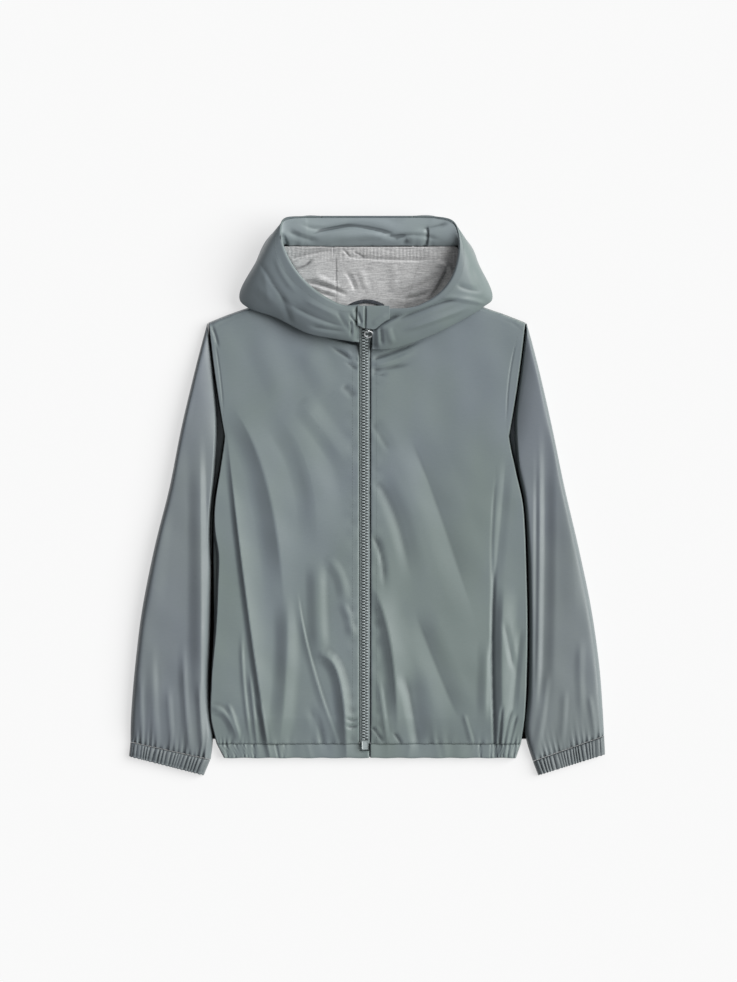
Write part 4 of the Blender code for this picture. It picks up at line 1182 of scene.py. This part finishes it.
def hood_section(row, w):
    """Points of hood sections: from the rim to the fold, under to the tuck, then to the base."""
    rim, fold, tuck, base = (row[..., i:i + 3] for i in (0, 3, 6, 9))
    w = w[..., None]
    t = np.clip(w / OVER_SHARE, 0, 1)
    swell = between(rim, fold, CREST_PLAN)
    swell[..., 2] = between(rim[..., 2], fold[..., 2], 1 - CREST_PLAN) + CREST
    over = rim * (1 - t) ** 2 + swell * 2 * t * (1 - t) + fold * t * t
    t = np.clip((w - OVER_SHARE) / (UNDER_SHARE - OVER_SHARE), 0, 1)
    corner = np.concatenate([fold[..., :2], tuck[..., 2:]], axis=-1)
    under = fold * (1 - t) ** 2 + corner * 2 * t * (1 - t) + tuck * t * t
    t = np.clip((w - UNDER_SHARE) / (1 - UNDER_SHARE), 0, 1)
    return np.where(w <= OVER_SHARE, over, np.where(w <= UNDER_SHARE, under, between(tuck, base, t)))


def inward(x, y):
    """The level direction from points of the rim into the face opening."""
    way = np.stack([FACE_SPREAD * x - x, FACE_MIDDLE_Y - y, 0 * x], axis=-1)
    return way / np.linalg.norm(way, axis=-1, keepdims=True)


def wall_folds(station, w):
    """Soft upright folds in the standing wall behind the outer fold."""
    band = ease(0.4, 0.58, w) * (1 - ease(0.62, 0.76, w)) * ease(0.35, 0.6, station)
    return WALL_FOLD * band * np.sin(23 * station + 2 * np.sin(9 * station) + 5 * w)


def turned_edge(points, inside):
    """Puts the turned edge before the first row: a strip that rolls up over the rim from inside."""
    turn = np.linspace(np.pi, np.pi / 2, RIM_ROWS + 1)[:-1, None]
    strip = points[:1] + inside * (RIM_TURN * (1 - np.sin(turn)))[..., None]
    strip[..., 2] = strip[..., 2] - RIM_DROP * (1 - np.sin(turn))
    return np.concatenate([strip, points], axis=0)


def hood_points(side):
    station, w = shares(HOOD_COLUMNS, HOOD_ROWS)
    rows = HOOD[side]
    points = hood_section(table_at(rows, station * (len(rows) - 1)), w)
    points[..., 0] *= side
    normal = grid_normals(points)
    normal = normal * np.where(np.mean(normal[:HOOD_ROWS // 3, :, 2]) > 0, 1, -1)
    shown = 1 - ease(OVER_SHARE - 0.08, OVER_SHARE + 0.05, w)
    x, y = points[..., 0], points[..., 1]
    dip = ZIP_DIP * (1 - ease(0, ZIP_DIP_WIDTH, side * x - rows[0].rim_x))
    lift = (crease_lift(HOOD_CREASES[side], x, y) + ripple(x, y) - dip) * shown
    lift = lift + wall_folds(station, w)
    points = points + normal * (lift * ease(0.0, 0.06, w))[..., None]
    points[..., 2] = np.maximum(points[..., 2], 0.0)
    return turned_edge(points, inward(points[:1, :, 0], points[:1, :, 1]))


hood_grid = {}
for side in (RIGHT, LEFT):
    name = f"hood_side_{SIDE_NAME[side]}"
    hood_grid[side] = hood_points(side)
    hood = cloth(f"{name}_cloth", hood_grid[side], hood_taffeta, HOOD_WALL, flip=side == LEFT)
    dress(hood, name)

# %% [markdown]
# The centre panel of the hood runs from the back neck, flat on the table, up to the rim at the crown. It has
# one section, repeated across, with the same turned edge.

# %% Hood centre
CENTRE_COLUMNS, CENTRE_ROWS = 50, 60


def hood_centre_points():
    across, w = shares(CENTRE_COLUMNS, CENTRE_ROWS)
    section = HOOD[LEFT][-1]._replace(base_y=BACK_NECK_Y + SEAM_GAP)
    points = hood_section(np.tile(np.array(section, float), across.shape + (1,)), w)
    reach = section.rim_x - SEAM_GAP
    points[..., 0] = between(-reach, reach, across)
    points[..., 2] = np.maximum(points[..., 2], 0.0)
    return turned_edge(points, np.array([0, -1, 0]))


centre = cloth("hood_centre_cloth", hood_centre_points(), hood_taffeta, HOOD_WALL)
dress(centre, "hood_centre")

# %% [markdown]
# Inside the rim runs a facing of the same taffeta, one band from zip to zip. Its upper part bellies out in a
# long soft arc, and where the jersey is sewn to its lower edge it puckers every few millimetres.

# %% Hood facing
EdgePoint = namedtuple("EdgePoint", "x y z")
FACING_EDGE = {
    RIGHT: [
        EdgePoint(8.6, 188, 24),
        EdgePoint(24, 187.5, 23),
        EdgePoint(44.5, 196.5, 22),
        EdgePoint(64, 211.5, 21),
        EdgePoint(79, 231, 21),
        EdgePoint(86, 247.5, 25),
        EdgePoint(83.5, 249.4, 29),
        EdgePoint(77, 249.3, 30.5),
        EdgePoint(62, 249.2, 31),
        EdgePoint(46, 249, 31),
    ],
    LEFT: [
        EdgePoint(6.8, 185.5, 24),
        EdgePoint(24, 184, 23),
        EdgePoint(49, 186, 22),
        EdgePoint(71.5, 197.5, 21),
        EdgePoint(86, 213.5, 20),
        EdgePoint(93, 233, 22),
        EdgePoint(91, 249.4, 29),
        EdgePoint(82, 249.3, 30.5),
        EdgePoint(65, 249.2, 31),
        EdgePoint(46, 249, 31),
    ],
}
FACING_CREASES = [
    Crease(-66, 256, -8, 268, 39, 249, 4, 8, -3.2, 0.8),
    Crease(-40, 256, 0, 261, 30, 257, 7, 5, 1.4),
    Crease(-70, 272, -40, 266, -10, 274, 4, 4, -1.4, 0.6),
    Crease(-33, 262, -32.5, 256, -31, 247, 2, 3, -1.4, 0.5),
    Crease(59, 270, 60, 258, 58, 246, 4, 2.5, -1.8, 0.5),
    Crease(30, 262, 38, 256, 41, 248, 3, 4, -1.4),
    Crease(-80, 266, -66, 258, -44, 254, 6, 5, -1.6, 0.3),
    Crease(-86, 262, -82, 254, -80, 246, 4, 4, -1.6),
    Crease(46, 264, 66, 268, 82, 272, 4, 5, -1.4, 0.4),
    Crease(18, 256, 46, 260, 76, 254, 4, 4, -1.2, 0.6),
]
FACING_BELLY = 3.4     # the band lies flat near the rim and drops towards its sewn edge
FACING_COLUMNS, FACING_ROWS = 330, 26
FACING_LAP = 0.6       # how far the band's start is tucked under the turned edge


def facing_points():
    stations = []
    for side in (RIGHT, LEFT):
        rows = [
            (side * row.rim_x, row.rim_y, row.rim_z, side * edge.x, edge.y, edge.z)
            for row, edge in zip(HOOD[side], FACING_EDGE[side])
        ]
        stations += rows if side == RIGHT else rows[::-1]
    across, along = shares(FACING_COLUMNS, FACING_ROWS)
    values = table_at(stations, across * (len(stations) - 1))
    rim, edge = values[..., :3], values[..., 3:]
    start = rim + inward(rim[..., 0], rim[..., 1]) * (RIM_TURN - FACING_LAP)
    start[..., 2] -= RIM_DROP
    points = between(start, edge, along[..., None])
    points[..., 2] = between(start[..., 2], edge[..., 2], along ** FACING_BELLY)
    x, y = points[..., 0], points[..., 1]
    crown = ease(0.36, 0.46, across) * ease(0.36, 0.46, 1 - across)
    pucker = 0.4 * along ** 3 * np.sin(x / 1.9 + 2.5 * np.sin(x / 9.0)) * (0.5 + 0.5 * np.sin(x / 7.0))
    belly = 1.2 * np.sin(np.pi * along) * crown
    lift = crease_lift(FACING_CREASES, x, y) + belly + pucker + ripple(x, y)
    lift = lift * ease(0.0, 0.12, along)
    normal = grid_normals(points)
    middle = normal.shape[1] // 2
    return points + normal * np.sign(normal[0, middle, 2]) * lift[..., None]


facing = cloth("hood_facing_cloth", facing_points(), lit_facing_taffeta, flip=True)
dress(facing, "hood_facing")

# %% [markdown]
# The jersey lining has three pieces, two sides and a centre, which hang from the facing down to the back
# neck. It is soft, so it sags in the middle and folds over itself at the sides. The seams are narrow grooves.

# %% Lining
InsideRow = namedtuple("InsideRow", "edge_x edge_y edge_z neck_x neck_y neck_z")
LINING = {
    RIGHT: [
        InsideRow(62, 210, 19.2, 62, 199, 9),
        InsideRow(78, 230.5, 19.4, 57, 195, 8),
        InsideRow(84.5, 246, 24.4, 50, 191, 7),
        InsideRow(82, 248.8, 28.4, 44, 188, 6),
        InsideRow(60, 248.6, 30.4, 38, 187, 5),
        InsideRow(34, 248.3, 30.4, 30, 186, 4.6),
    ],
    LEFT: [
        InsideRow(69, 200, 19.2, 64, 195, 15),
        InsideRow(85, 213, 19.4, 59, 192, 14),
        InsideRow(92, 232.5, 20.6, 53, 189, 12),
        InsideRow(90, 247.6, 27.6, 48, 187.5, 9),
        InsideRow(78, 248.7, 30, 43, 186.6, 6.5),
        InsideRow(57, 248.3, 30.4, 36, 186, 4.6),
    ],
}
LINING_CREASES = [
    Crease(-36, 240.5, 20, 236.5, 82, 236.5, 3, 3, -1.5, 0.4),
    Crease(-54, 238, -64, 229, -80, 226, 3.5, 3, -2.6, 0.6),
    Crease(-25, 247, -20, 242, -16, 238, 2, 2, -1.5, 0.5),
    Crease(-15, 244.5, -8, 241, -2, 238.5, 2, 2, -1.5, 0.5),
    Crease(-82, 235, -62, 241, -34, 246, 4, 5, -2.4, 0.4),
    Crease(-72, 214.5, -44, 210.5, -16, 199, 3.5, 4.5, -3.4, 0.6),
    Crease(-66, 213, -48, 204, -28, 199, 4, 4, -2.4, 0.5),
    Crease(-56, 222, -40, 214, -26, 208, 6, 6, 1.8),
    Crease(58, 236, 85, 221, 60, 192, 6, 5, 3.0, 0.4),
    Crease(82, 233, 73, 213, 58, 191, 3, 3.5, -3.4, 0.6),
    Crease(82, 226, 52, 211, 20, 195, 5, 5, -1.6, 0.2),
    Crease(-22, 226, -15, 214, -11, 203, 3.5, 5, -1.6, 0.3),
    Crease(-12, 230, -3, 216, -2, 204, 5, 6, 0.8, 0.1),
    Crease(20, 238, 28, 220, 24, 204, 8, 6, 0.6),
    Crease(30, 198, 50, 200, 66, 206, 4, 4, -1.8, 0.4),
    Crease(-31.5, 249, -31, 222, -30, 196, 1.6, 1.6, -0.8),
]
LINING_SAG, LINING_FLOOR = 3.0, 3.4
LINING_WALL = 0.7
LINING_COLUMNS, LINING_CENTRE_COLUMNS, LINING_ROWS = 120, 130, 84
LINING_SEAM = 0.06


def lining_form(edge, neck, along):
    points = between(edge, neck, along[..., None])
    x, y = points[..., 0], points[..., 1]
    ribs = 0.16 * np.sin(x / 0.62 + 2.0 * np.sin(x / 7.0)) * (1 - ease(0.1, 0.3, along))
    folds = crease_lift(LINING_CREASES, x, y) + 1.4 * ripple(x * 1.3, y * 1.3) + ribs
    held = ease(0.0, 0.05, along) * ease(0.0, 0.05, 1 - along)
    points[..., 2] += (folds - LINING_SAG * np.sin(np.pi * along)) * between(0.35, 1.0, held)
    points[..., 2] = np.maximum(points[..., 2], LINING_FLOOR)
    return points


for side in (RIGHT, LEFT):
    name = f"lining_{SIDE_NAME[side]}"
    across, along = shares(LINING_COLUMNS, LINING_ROWS)
    values = table_at(LINING[side], across * (len(LINING[side]) - 1))
    values[..., [0, 3]] *= side
    points = lining_form(values[..., :3], values[..., 3:], along)
    lining = cloth(f"{name}_jersey", points, jersey, LINING_WALL, flip=side == RIGHT)
    dress(lining, name)

# %% [markdown]
# The lining's centre piece spans from seam to seam: each of its two ends, at the facing and at the neck, is a
# straight line between the last rows of the side pieces, a hair short of them.

# %% Lining centre
def level_line(right, left, across):
    """Points from one place on the wearer's right side to its match on the left."""
    x = between(LINING_SEAM - right[0], left[0] - LINING_SEAM, across)
    return np.stack([x, np.full(x.shape, right[1]), np.full(x.shape, right[2])], axis=-1)


across, along = shares(LINING_CENTRE_COLUMNS, LINING_ROWS)
right_row, left_row = LINING[RIGHT][-1], LINING[LEFT][-1]
edge_points, neck_points = (level_line(right_row[i:i + 3], left_row[i:i + 3], across) for i in (0, 3))
points = lining_form(edge_points, neck_points, along)
lining_centre = cloth("lining_centre_jersey", points, jersey, LINING_WALL, flip=True)
dress(lining_centre, "lining_centre")

# %% [markdown]
# The chin guard is a small flap folded over the top of the zip. It is crumpled where the slider's top pushes
# it up, so it gets its own short creases, and it follows the slope of the hood's front.

# %% Chin guard
GUARD_RIGHT_X, GUARD_LEFT_X = -9.5, 22.5
GUARD_UPPER_Y = 189.6
GUARD_RISE = 1.1       # height of the flap above the hood's cloth
GUARD_WALL = 0.8
GUARD_COLUMNS, GUARD_ROWS = 72, 44
GuardRow = namedtuple("GuardRow", "x lower_y")
GUARD_LOWER = [
    GuardRow(-9.5, 170.0),
    GuardRow(-4.0, 167.6),
    GuardRow(2.0, 166.6),
    GuardRow(7.7, 166.4),
    GuardRow(16.0, 172.6),
    GuardRow(22.5, 176.4),
]
HoodFront = namedtuple("HoodFront", "y z")
HOOD_FRONT = [
    HoodFront(166, 31.6),
    HoodFront(172, 33.3),
    HoodFront(179, 34.9),
    HoodFront(186, 36.0),
    HoodFront(190, 36.2),
]
GUARD_CREASES = [
    Crease(-1.8, 192, -1.6, 178, -2.2, 162, 2.2, 1.8, -2.2, 0.7),
    Crease(-10, 186, -7.5, 177, -5, 171, 3, 3, -1.3, 0.4),
    Crease(5, 170, 12, 176, 22, 181, 4, 4, 0.5),
]


def guard_points():
    across, along = shares(GUARD_COLUMNS, GUARD_ROWS)
    x = between(GUARD_RIGHT_X, GUARD_LEFT_X, across)
    y = between(read_column(GUARD_LOWER, "x", "lower_y", x), GUARD_UPPER_Y, along)
    z = read_column(HOOD_FRONT, "y", "z", y) + GUARD_RISE
    return np.stack([x, y, z + crease_lift(GUARD_CREASES, x, y)], axis=-1)


guard = cloth("chin_guard_cloth", guard_points(), hood_taffeta, GUARD_WALL)
dress(guard, "chin_guard")

# %% [markdown]
# The hanger loop at the back neck is a flat woven tape that arches over the neck seam. Its section is a flat
# oval, carried along the arch, with the small steps of a coarse weave.

# %% Hanger loop
LOOP_ENDS, LOOP_ARCH = (-18.5, 17.5), 5.2
LOOP_FOOT_Y, LOOP_Z = 189.6, 8.2
LOOP_HALF, LOOP_THICK = 1.9, 0.7
LOOP_WEAVE, LOOP_SINK = 1.6, 1.2
LOOP_RINGS, LOOP_RING = 121, 16


def loop_points():
    run = np.linspace(0, 1, LOOP_RINGS)[:, None]
    turn = np.linspace(0, 2 * np.pi, LOOP_RING, endpoint=False)[None, :]
    picks = (LOOP_ENDS[1] - LOOP_ENDS[0]) / LOOP_WEAVE
    weave = 1 + 0.14 * np.sin(2 * np.pi * run * picks + 2 * turn)
    x = between(*LOOP_ENDS, run) + 0 * turn
    y = LOOP_FOOT_Y + bow_out(run, LOOP_ARCH) + LOOP_HALF * weave * np.cos(turn)
    z = LOOP_Z + LOOP_THICK * weave * np.sin(turn) - LOOP_SINK * (2 * run - 1) ** 2
    return np.stack([x, y, z], axis=-1)


loop = closed_tube("hanger_loop_woven", loop_points(), dark_cord)
dress(loop, "hanger_loop")

# %% [markdown]
# The zip: two woven tapes lie just under the folded edges and climb the front of the hood. They are narrow
# cloths on the same kind of grid. Under the teeth their finish is dark, because little light gets there.

# %% Zip tapes
ZipRow = namedtuple("ZipRow", "y z")
ZIP_CLIMB = [
    ZipRow(138, 13.6),
    ZipRow(146, 16.4),
    ZipRow(152, 19.6),
    ZipRow(158, 22.2),
    ZipRow(164, 24.6),
    ZipRow(170, 26.6),
    ZipRow(184, 28.2),
]
ZIP_FOOT_Y, ZIP_TOP_Y = -247.5, 184.0
ZIP_SPREAD = (153.0, 163.0)
HOOD_ZIP_EDGE = {RIGHT: -8.8, LEFT: 6.6}
TAPE_DROP, TAPE_WALL = 0.8, 0.8
TAPE_COLUMNS, TAPE_ROWS = 6, 300
TAPE_GAP = 0.2         # from the zip's middle to a tape's inner edge
CHAIN_HALF = 2.7       # half the width of the strip that lies dark under the teeth
CHAIN_BLUR = 0.8
TAPE_DARK, TAPE_LIGHT, TAPE_SHADE = (0.25, 0.295, 0.30, 1), (0.33, 0.38, 0.38, 1), (0.03, 0.035, 0.037, 1)


def woven_tape():
    """The tapes' finish: a fine weave, dark where the teeth keep the light out."""
    material, tree, shader = start_material("zip_tape")
    grain = patches(tree, (0.5, 1.4, 1.0), 3.0)
    woven = tint(tree, spread(tree, grain, 0.0, 1.0), TAPE_DARK, TAPE_LIGHT)
    off = calculate(tree, "SUBTRACT", place_axes(tree)["X"], ZIP_X * MM)
    off = calculate(tree, "ABSOLUTE", off, 0.0)
    under = spread(tree, off, 0.9, 0.0, CHAIN_HALF * MM, (CHAIN_HALF + CHAIN_BLUR) * MM)
    tree.links.new(tint(tree, under, woven, TAPE_SHADE), shader.inputs["Base Color"])
    tree.links.new(spread(tree, grain, 0.6, 0.75), shader.inputs["Roughness"])
    emboss(tree, shader, grain, 0.3, 0.1)
    return material


def zip_z(y):
    """Height of the tapes' upper face: just below the fronts, then up the front of the hood."""
    level = np.minimum(y, ZIP_CLIMB[0].y)
    edges = [front_z(np.full(level.shape, ZIP_EDGE[side]), level) for side in (RIGHT, LEFT)]
    low = between(*edges, 0.5) - TAPE_DROP
    high = read_column(ZIP_CLIMB, "y", "z", y)
    return np.where(y <= ZIP_CLIMB[0].y, low, high)


def tape_points(side):
    across, along = shares(TAPE_COLUMNS, TAPE_ROWS)
    y = between(ZIP_FOOT_Y, ZIP_TOP_Y, along)
    spread_share = np.clip((y - ZIP_SPREAD[0]) / (ZIP_SPREAD[1] - ZIP_SPREAD[0]), 0, 1)
    edge = between(ZIP_EDGE[side], HOOD_ZIP_EDGE[side], spread_share)
    x = between(ZIP_X + side * TAPE_GAP, edge - side * SEAM_GAP, across)
    return np.stack([x, y, zip_z(y)], axis=-1)


zip_tape = woven_tape()
for side in (RIGHT, LEFT):
    name = f"zip_tape_{SIDE_NAME[side]}"
    tape = cloth(f"{name}_woven", tape_points(side), zip_tape, TAPE_WALL, flip=side == RIGHT)
    dress(tape, name)

# %% [markdown]
# One tooth is modelled as a block: its head is scaled narrower in edit mode and its edges are bevelled. It
# is then copied up both tapes, the two rows half a pitch apart so that they mesh, and each copy follows the
# slope of the zip.

# %% Zip teeth
TOOTH = (3.5, 1.75, 1.9)       # across, along and above the tape
TOOTH_HEAD = (1.0, 0.8, 0.9)   # the head's size as shares of the root's
TOOTH_BEVEL = 0.38
TOOTH_RISE = 1.5               # from the tape to a tooth's middle
TOOTH_PITCH = 2.89
TOOTH_INSET = 1.45             # from the zip's middle to a tooth's middle
TEETH_FOOT_Y, TEETH_TOP_Y = -243.0, 167.0


def add_block(size, middle=(0, 0, 0)):
    """A block of this size in millimetres, with its sizes applied."""
    bpy.ops.object.select_all(action="DESELECT")
    bpy.ops.mesh.primitive_cube_add(size=1)
    block = bpy.context.object
    block.scale = Vector(size) * MM
    block.location = Vector(middle) * MM
    bpy.ops.object.transform_apply(location=True, rotation=False, scale=True)
    return block


def edit_face(piece, way):
    """Goes into edit mode with only the face selected that looks this way."""
    bpy.ops.object.mode_set(mode="EDIT")
    bpy.ops.mesh.select_mode(type="FACE")
    bpy.ops.mesh.select_all(action="DESELECT")
    bpy.ops.object.mode_set(mode="OBJECT")
    for face in piece.data.polygons:
        face.select = face.normal.dot(Vector(way)) > 0.5
    bpy.ops.object.mode_set(mode="EDIT")


def bevel_edges(piece, width, segments):
    bevel = piece.modifiers.new("Edges", "BEVEL")
    bevel.width = width * MM
    bevel.segments = segments
    bpy.ops.object.modifier_apply(modifier="Edges")


def take_model(piece):
    """Points in millimetres and faces of a small model, which is then removed."""
    points = np.array([vert.co[:] for vert in piece.data.vertices]) / MM
    faces = [list(face.vertices) for face in piece.data.polygons]
    bpy.data.objects.remove(piece)
    return points, faces


def model_tooth():
    """One tooth, its head towards +X, with a narrower head and rounded edges."""
    tooth = add_block(TOOTH)
    edit_face(tooth, (1, 0, 0))
    bpy.ops.transform.resize(value=TOOTH_HEAD, center_override=(0, 0, 0))
    bpy.ops.object.mode_set(mode="OBJECT")
    bevel_edges(tooth, TOOTH_BEVEL, 1)
    return take_model(tooth)


def copies(name, model, places, material):
    """Copies of a small model as one piece; each place is a point and three axes."""
    points, faces = model
    made, made_faces = [], []
    for i, (origin, axes) in enumerate(places):
        made.append(np.asarray(origin) + points @ np.asarray(axes))
        made_faces += [[index + i * len(points) for index in face] for face in faces]
    return new_piece(name, np.concatenate(made), made_faces, material)


def tooth_places():
    places = []
    for side, shift in ((RIGHT, 0.0), (LEFT, TOOTH_PITCH / 2)):
        ys = np.arange(TEETH_FOOT_Y + shift, TEETH_TOP_Y, TOOTH_PITCH)
        zs = zip_z(ys) + TOOTH_RISE
        slopes = np.gradient(zs, ys)
        for y, z, slope in zip(ys, zs, slopes):
            size = math.hypot(1.0, slope)
            along, up = (0.0, 1 / size, slope / size), (0.0, -slope / size, 1 / size)
            axes = [(-side, 0, 0), np.multiply(along, -side), up]
            places.append(((ZIP_X + side * TOOTH_INSET, y, z), axes))
    return places


teeth = copies("zip_teeth", model_tooth(), tooth_places(), moulded)
dress(teeth, "zip_chain")

# %% [markdown]
# At the foot the teeth end in a moulded box. It is modelled as a bevelled block with a groove down its
# middle. The slider keeps its solid and gets the lacquered finish, and the pull ring's solid a brighter one.

# %% Zip box, slider and ring
BOX_SIZE = (6.6, 9.0, 2.4)
BOX_BELOW = 6.0        # the box reaches past the end of the tapes
BOX_RIM, BOX_GROOVE, BOX_BEVEL = 1.2, 0.5, 0.35


def model_box():
    middle_y = ZIP_FOOT_Y + BOX_SIZE[1] / 2 - BOX_BELOW
    rest = float(zip_z(np.array([ZIP_FOOT_Y + BOX_SIZE[1]]))[0]) + SEAM_GAP
    box = add_block(BOX_SIZE, (ZIP_X, middle_y, rest + BOX_SIZE[2] / 2))
    box.name = "zip_box_moulded"
    edit_face(box, (0, 0, 1))
    bpy.ops.mesh.inset(thickness=BOX_RIM * MM, depth=-BOX_GROOVE * MM)
    bpy.ops.object.mode_set(mode="OBJECT")
    bevel_edges(box, BOX_BEVEL, 2)
    box.data.materials.append(moulded)
    return box


dress(model_box(), "zip_box")
for node, finish in (("zip_slider", lacquer), ("zip_pull", bright_metal)):
    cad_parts[node].data.materials.clear()
    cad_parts[node].data.materials.append(finish)

# %% [markdown]
# Topstitching shows as fine broken lines along the placket, the hem, the shoulders, the armholes and the
# hood. One stitch is a slim spindle; it is copied along each line at the machine's stitch length, just
# sunk into the cloth, and turned to follow it.

# %% Stitches
STITCH_LENGTH, STITCH_PITCH, STITCH_THICK = 2.1, 2.9, 0.34
STITCH_REACH = 0.8     # a stitch's way is taken between the places this far before and behind it
FRONT_STITCH_UP, RIM_STITCH_UP = 0.05, 0.12
PLACKET_STITCH, HEM_STITCH = 6.5, 1.6  # from the folded edge and from the hem's seam
RIM_STITCH_ROW = 5     # row of the hood's grid that lies about 4 mm below the rim


def model_stitch():
    bpy.ops.object.select_all(action="DESELECT")
    bpy.ops.mesh.primitive_uv_sphere_add(segments=6, ring_count=4, radius=1)
    stitch = bpy.context.object
    stitch.rotation_euler = (0, math.pi / 2, 0)
    bpy.ops.object.transform_apply(location=False, rotation=True, scale=False)
    stitch.scale = (STITCH_LENGTH / 2 * MM, STITCH_THICK / 2 * MM, STITCH_THICK / 2 * MM)
    bpy.ops.object.transform_apply(location=False, rotation=False, scale=True)
    return take_model(stitch)


def stitch_places(line):
    """Places of the stitches along a line of points that lies on the cloth."""
    steps = np.linalg.norm(np.diff(line, axis=0), axis=1)
    run = np.concatenate([[0], np.cumsum(steps)])
    stops = np.arange(STITCH_PITCH / 2, run[-1], STITCH_PITCH)
    behind, at, ahead = (
        np.stack([np.interp(stops + shift, run, line[:, i]) for i in range(3)], axis=1)
        for shift in (-STITCH_REACH, 0.0, STITCH_REACH)
    )
    places = []
    for origin, way in zip(at, ahead - behind):
        way = way / np.linalg.norm(way)
        across = np.cross((0, 0, 1.0), way)
        across = across / np.linalg.norm(across)
        places.append((origin, [way, across, np.cross(way, across)]))
    return places


def on_front(x, y):
    return np.stack([x, y, front_z(x, y) + FRONT_STITCH_UP], axis=-1)


def front_lines(side):
    """Topstitched lines of one front: placket, hem seam, armhole and shoulder."""
    y = np.linspace(HEM_SEAM_Y + 2, NECK_Y - 14, 400)
    lines = [on_front(np.full(y.shape, ZIP_EDGE[side] + side * PLACKET_STITCH), y)]
    x = np.linspace(ZIP_EDGE[side] + side * 3, side * (edge_x(side, HEM_SEAM_Y) - 8), 200)
    lines.append(on_front(x, np.full(x.shape, HEM_SEAM_Y + HEM_STITCH)))
    for row in FRONT_SEAMS:
        if row.x0 * side > 0:
            path = crease_path(Crease(*row[:6], 1, 1, 0))
            lines.append(on_front(path[:, 0], path[:, 1]))
    return lines


stitch_model = model_stitch()
for side in (RIGHT, LEFT):
    rim_line = hood_grid[side][RIM_ROWS + RIM_STITCH_ROW] + np.array([0, 0, RIM_STITCH_UP])
    for part, lines in (("front", front_lines(side)), ("hood", [rim_line])):
        places = [place for line in lines for place in stitch_places(line)]
        sewing = copies(f"{part}_{SIDE_NAME[side]}_stitching", stitch_model, places, thread)
        dress(sewing, None)
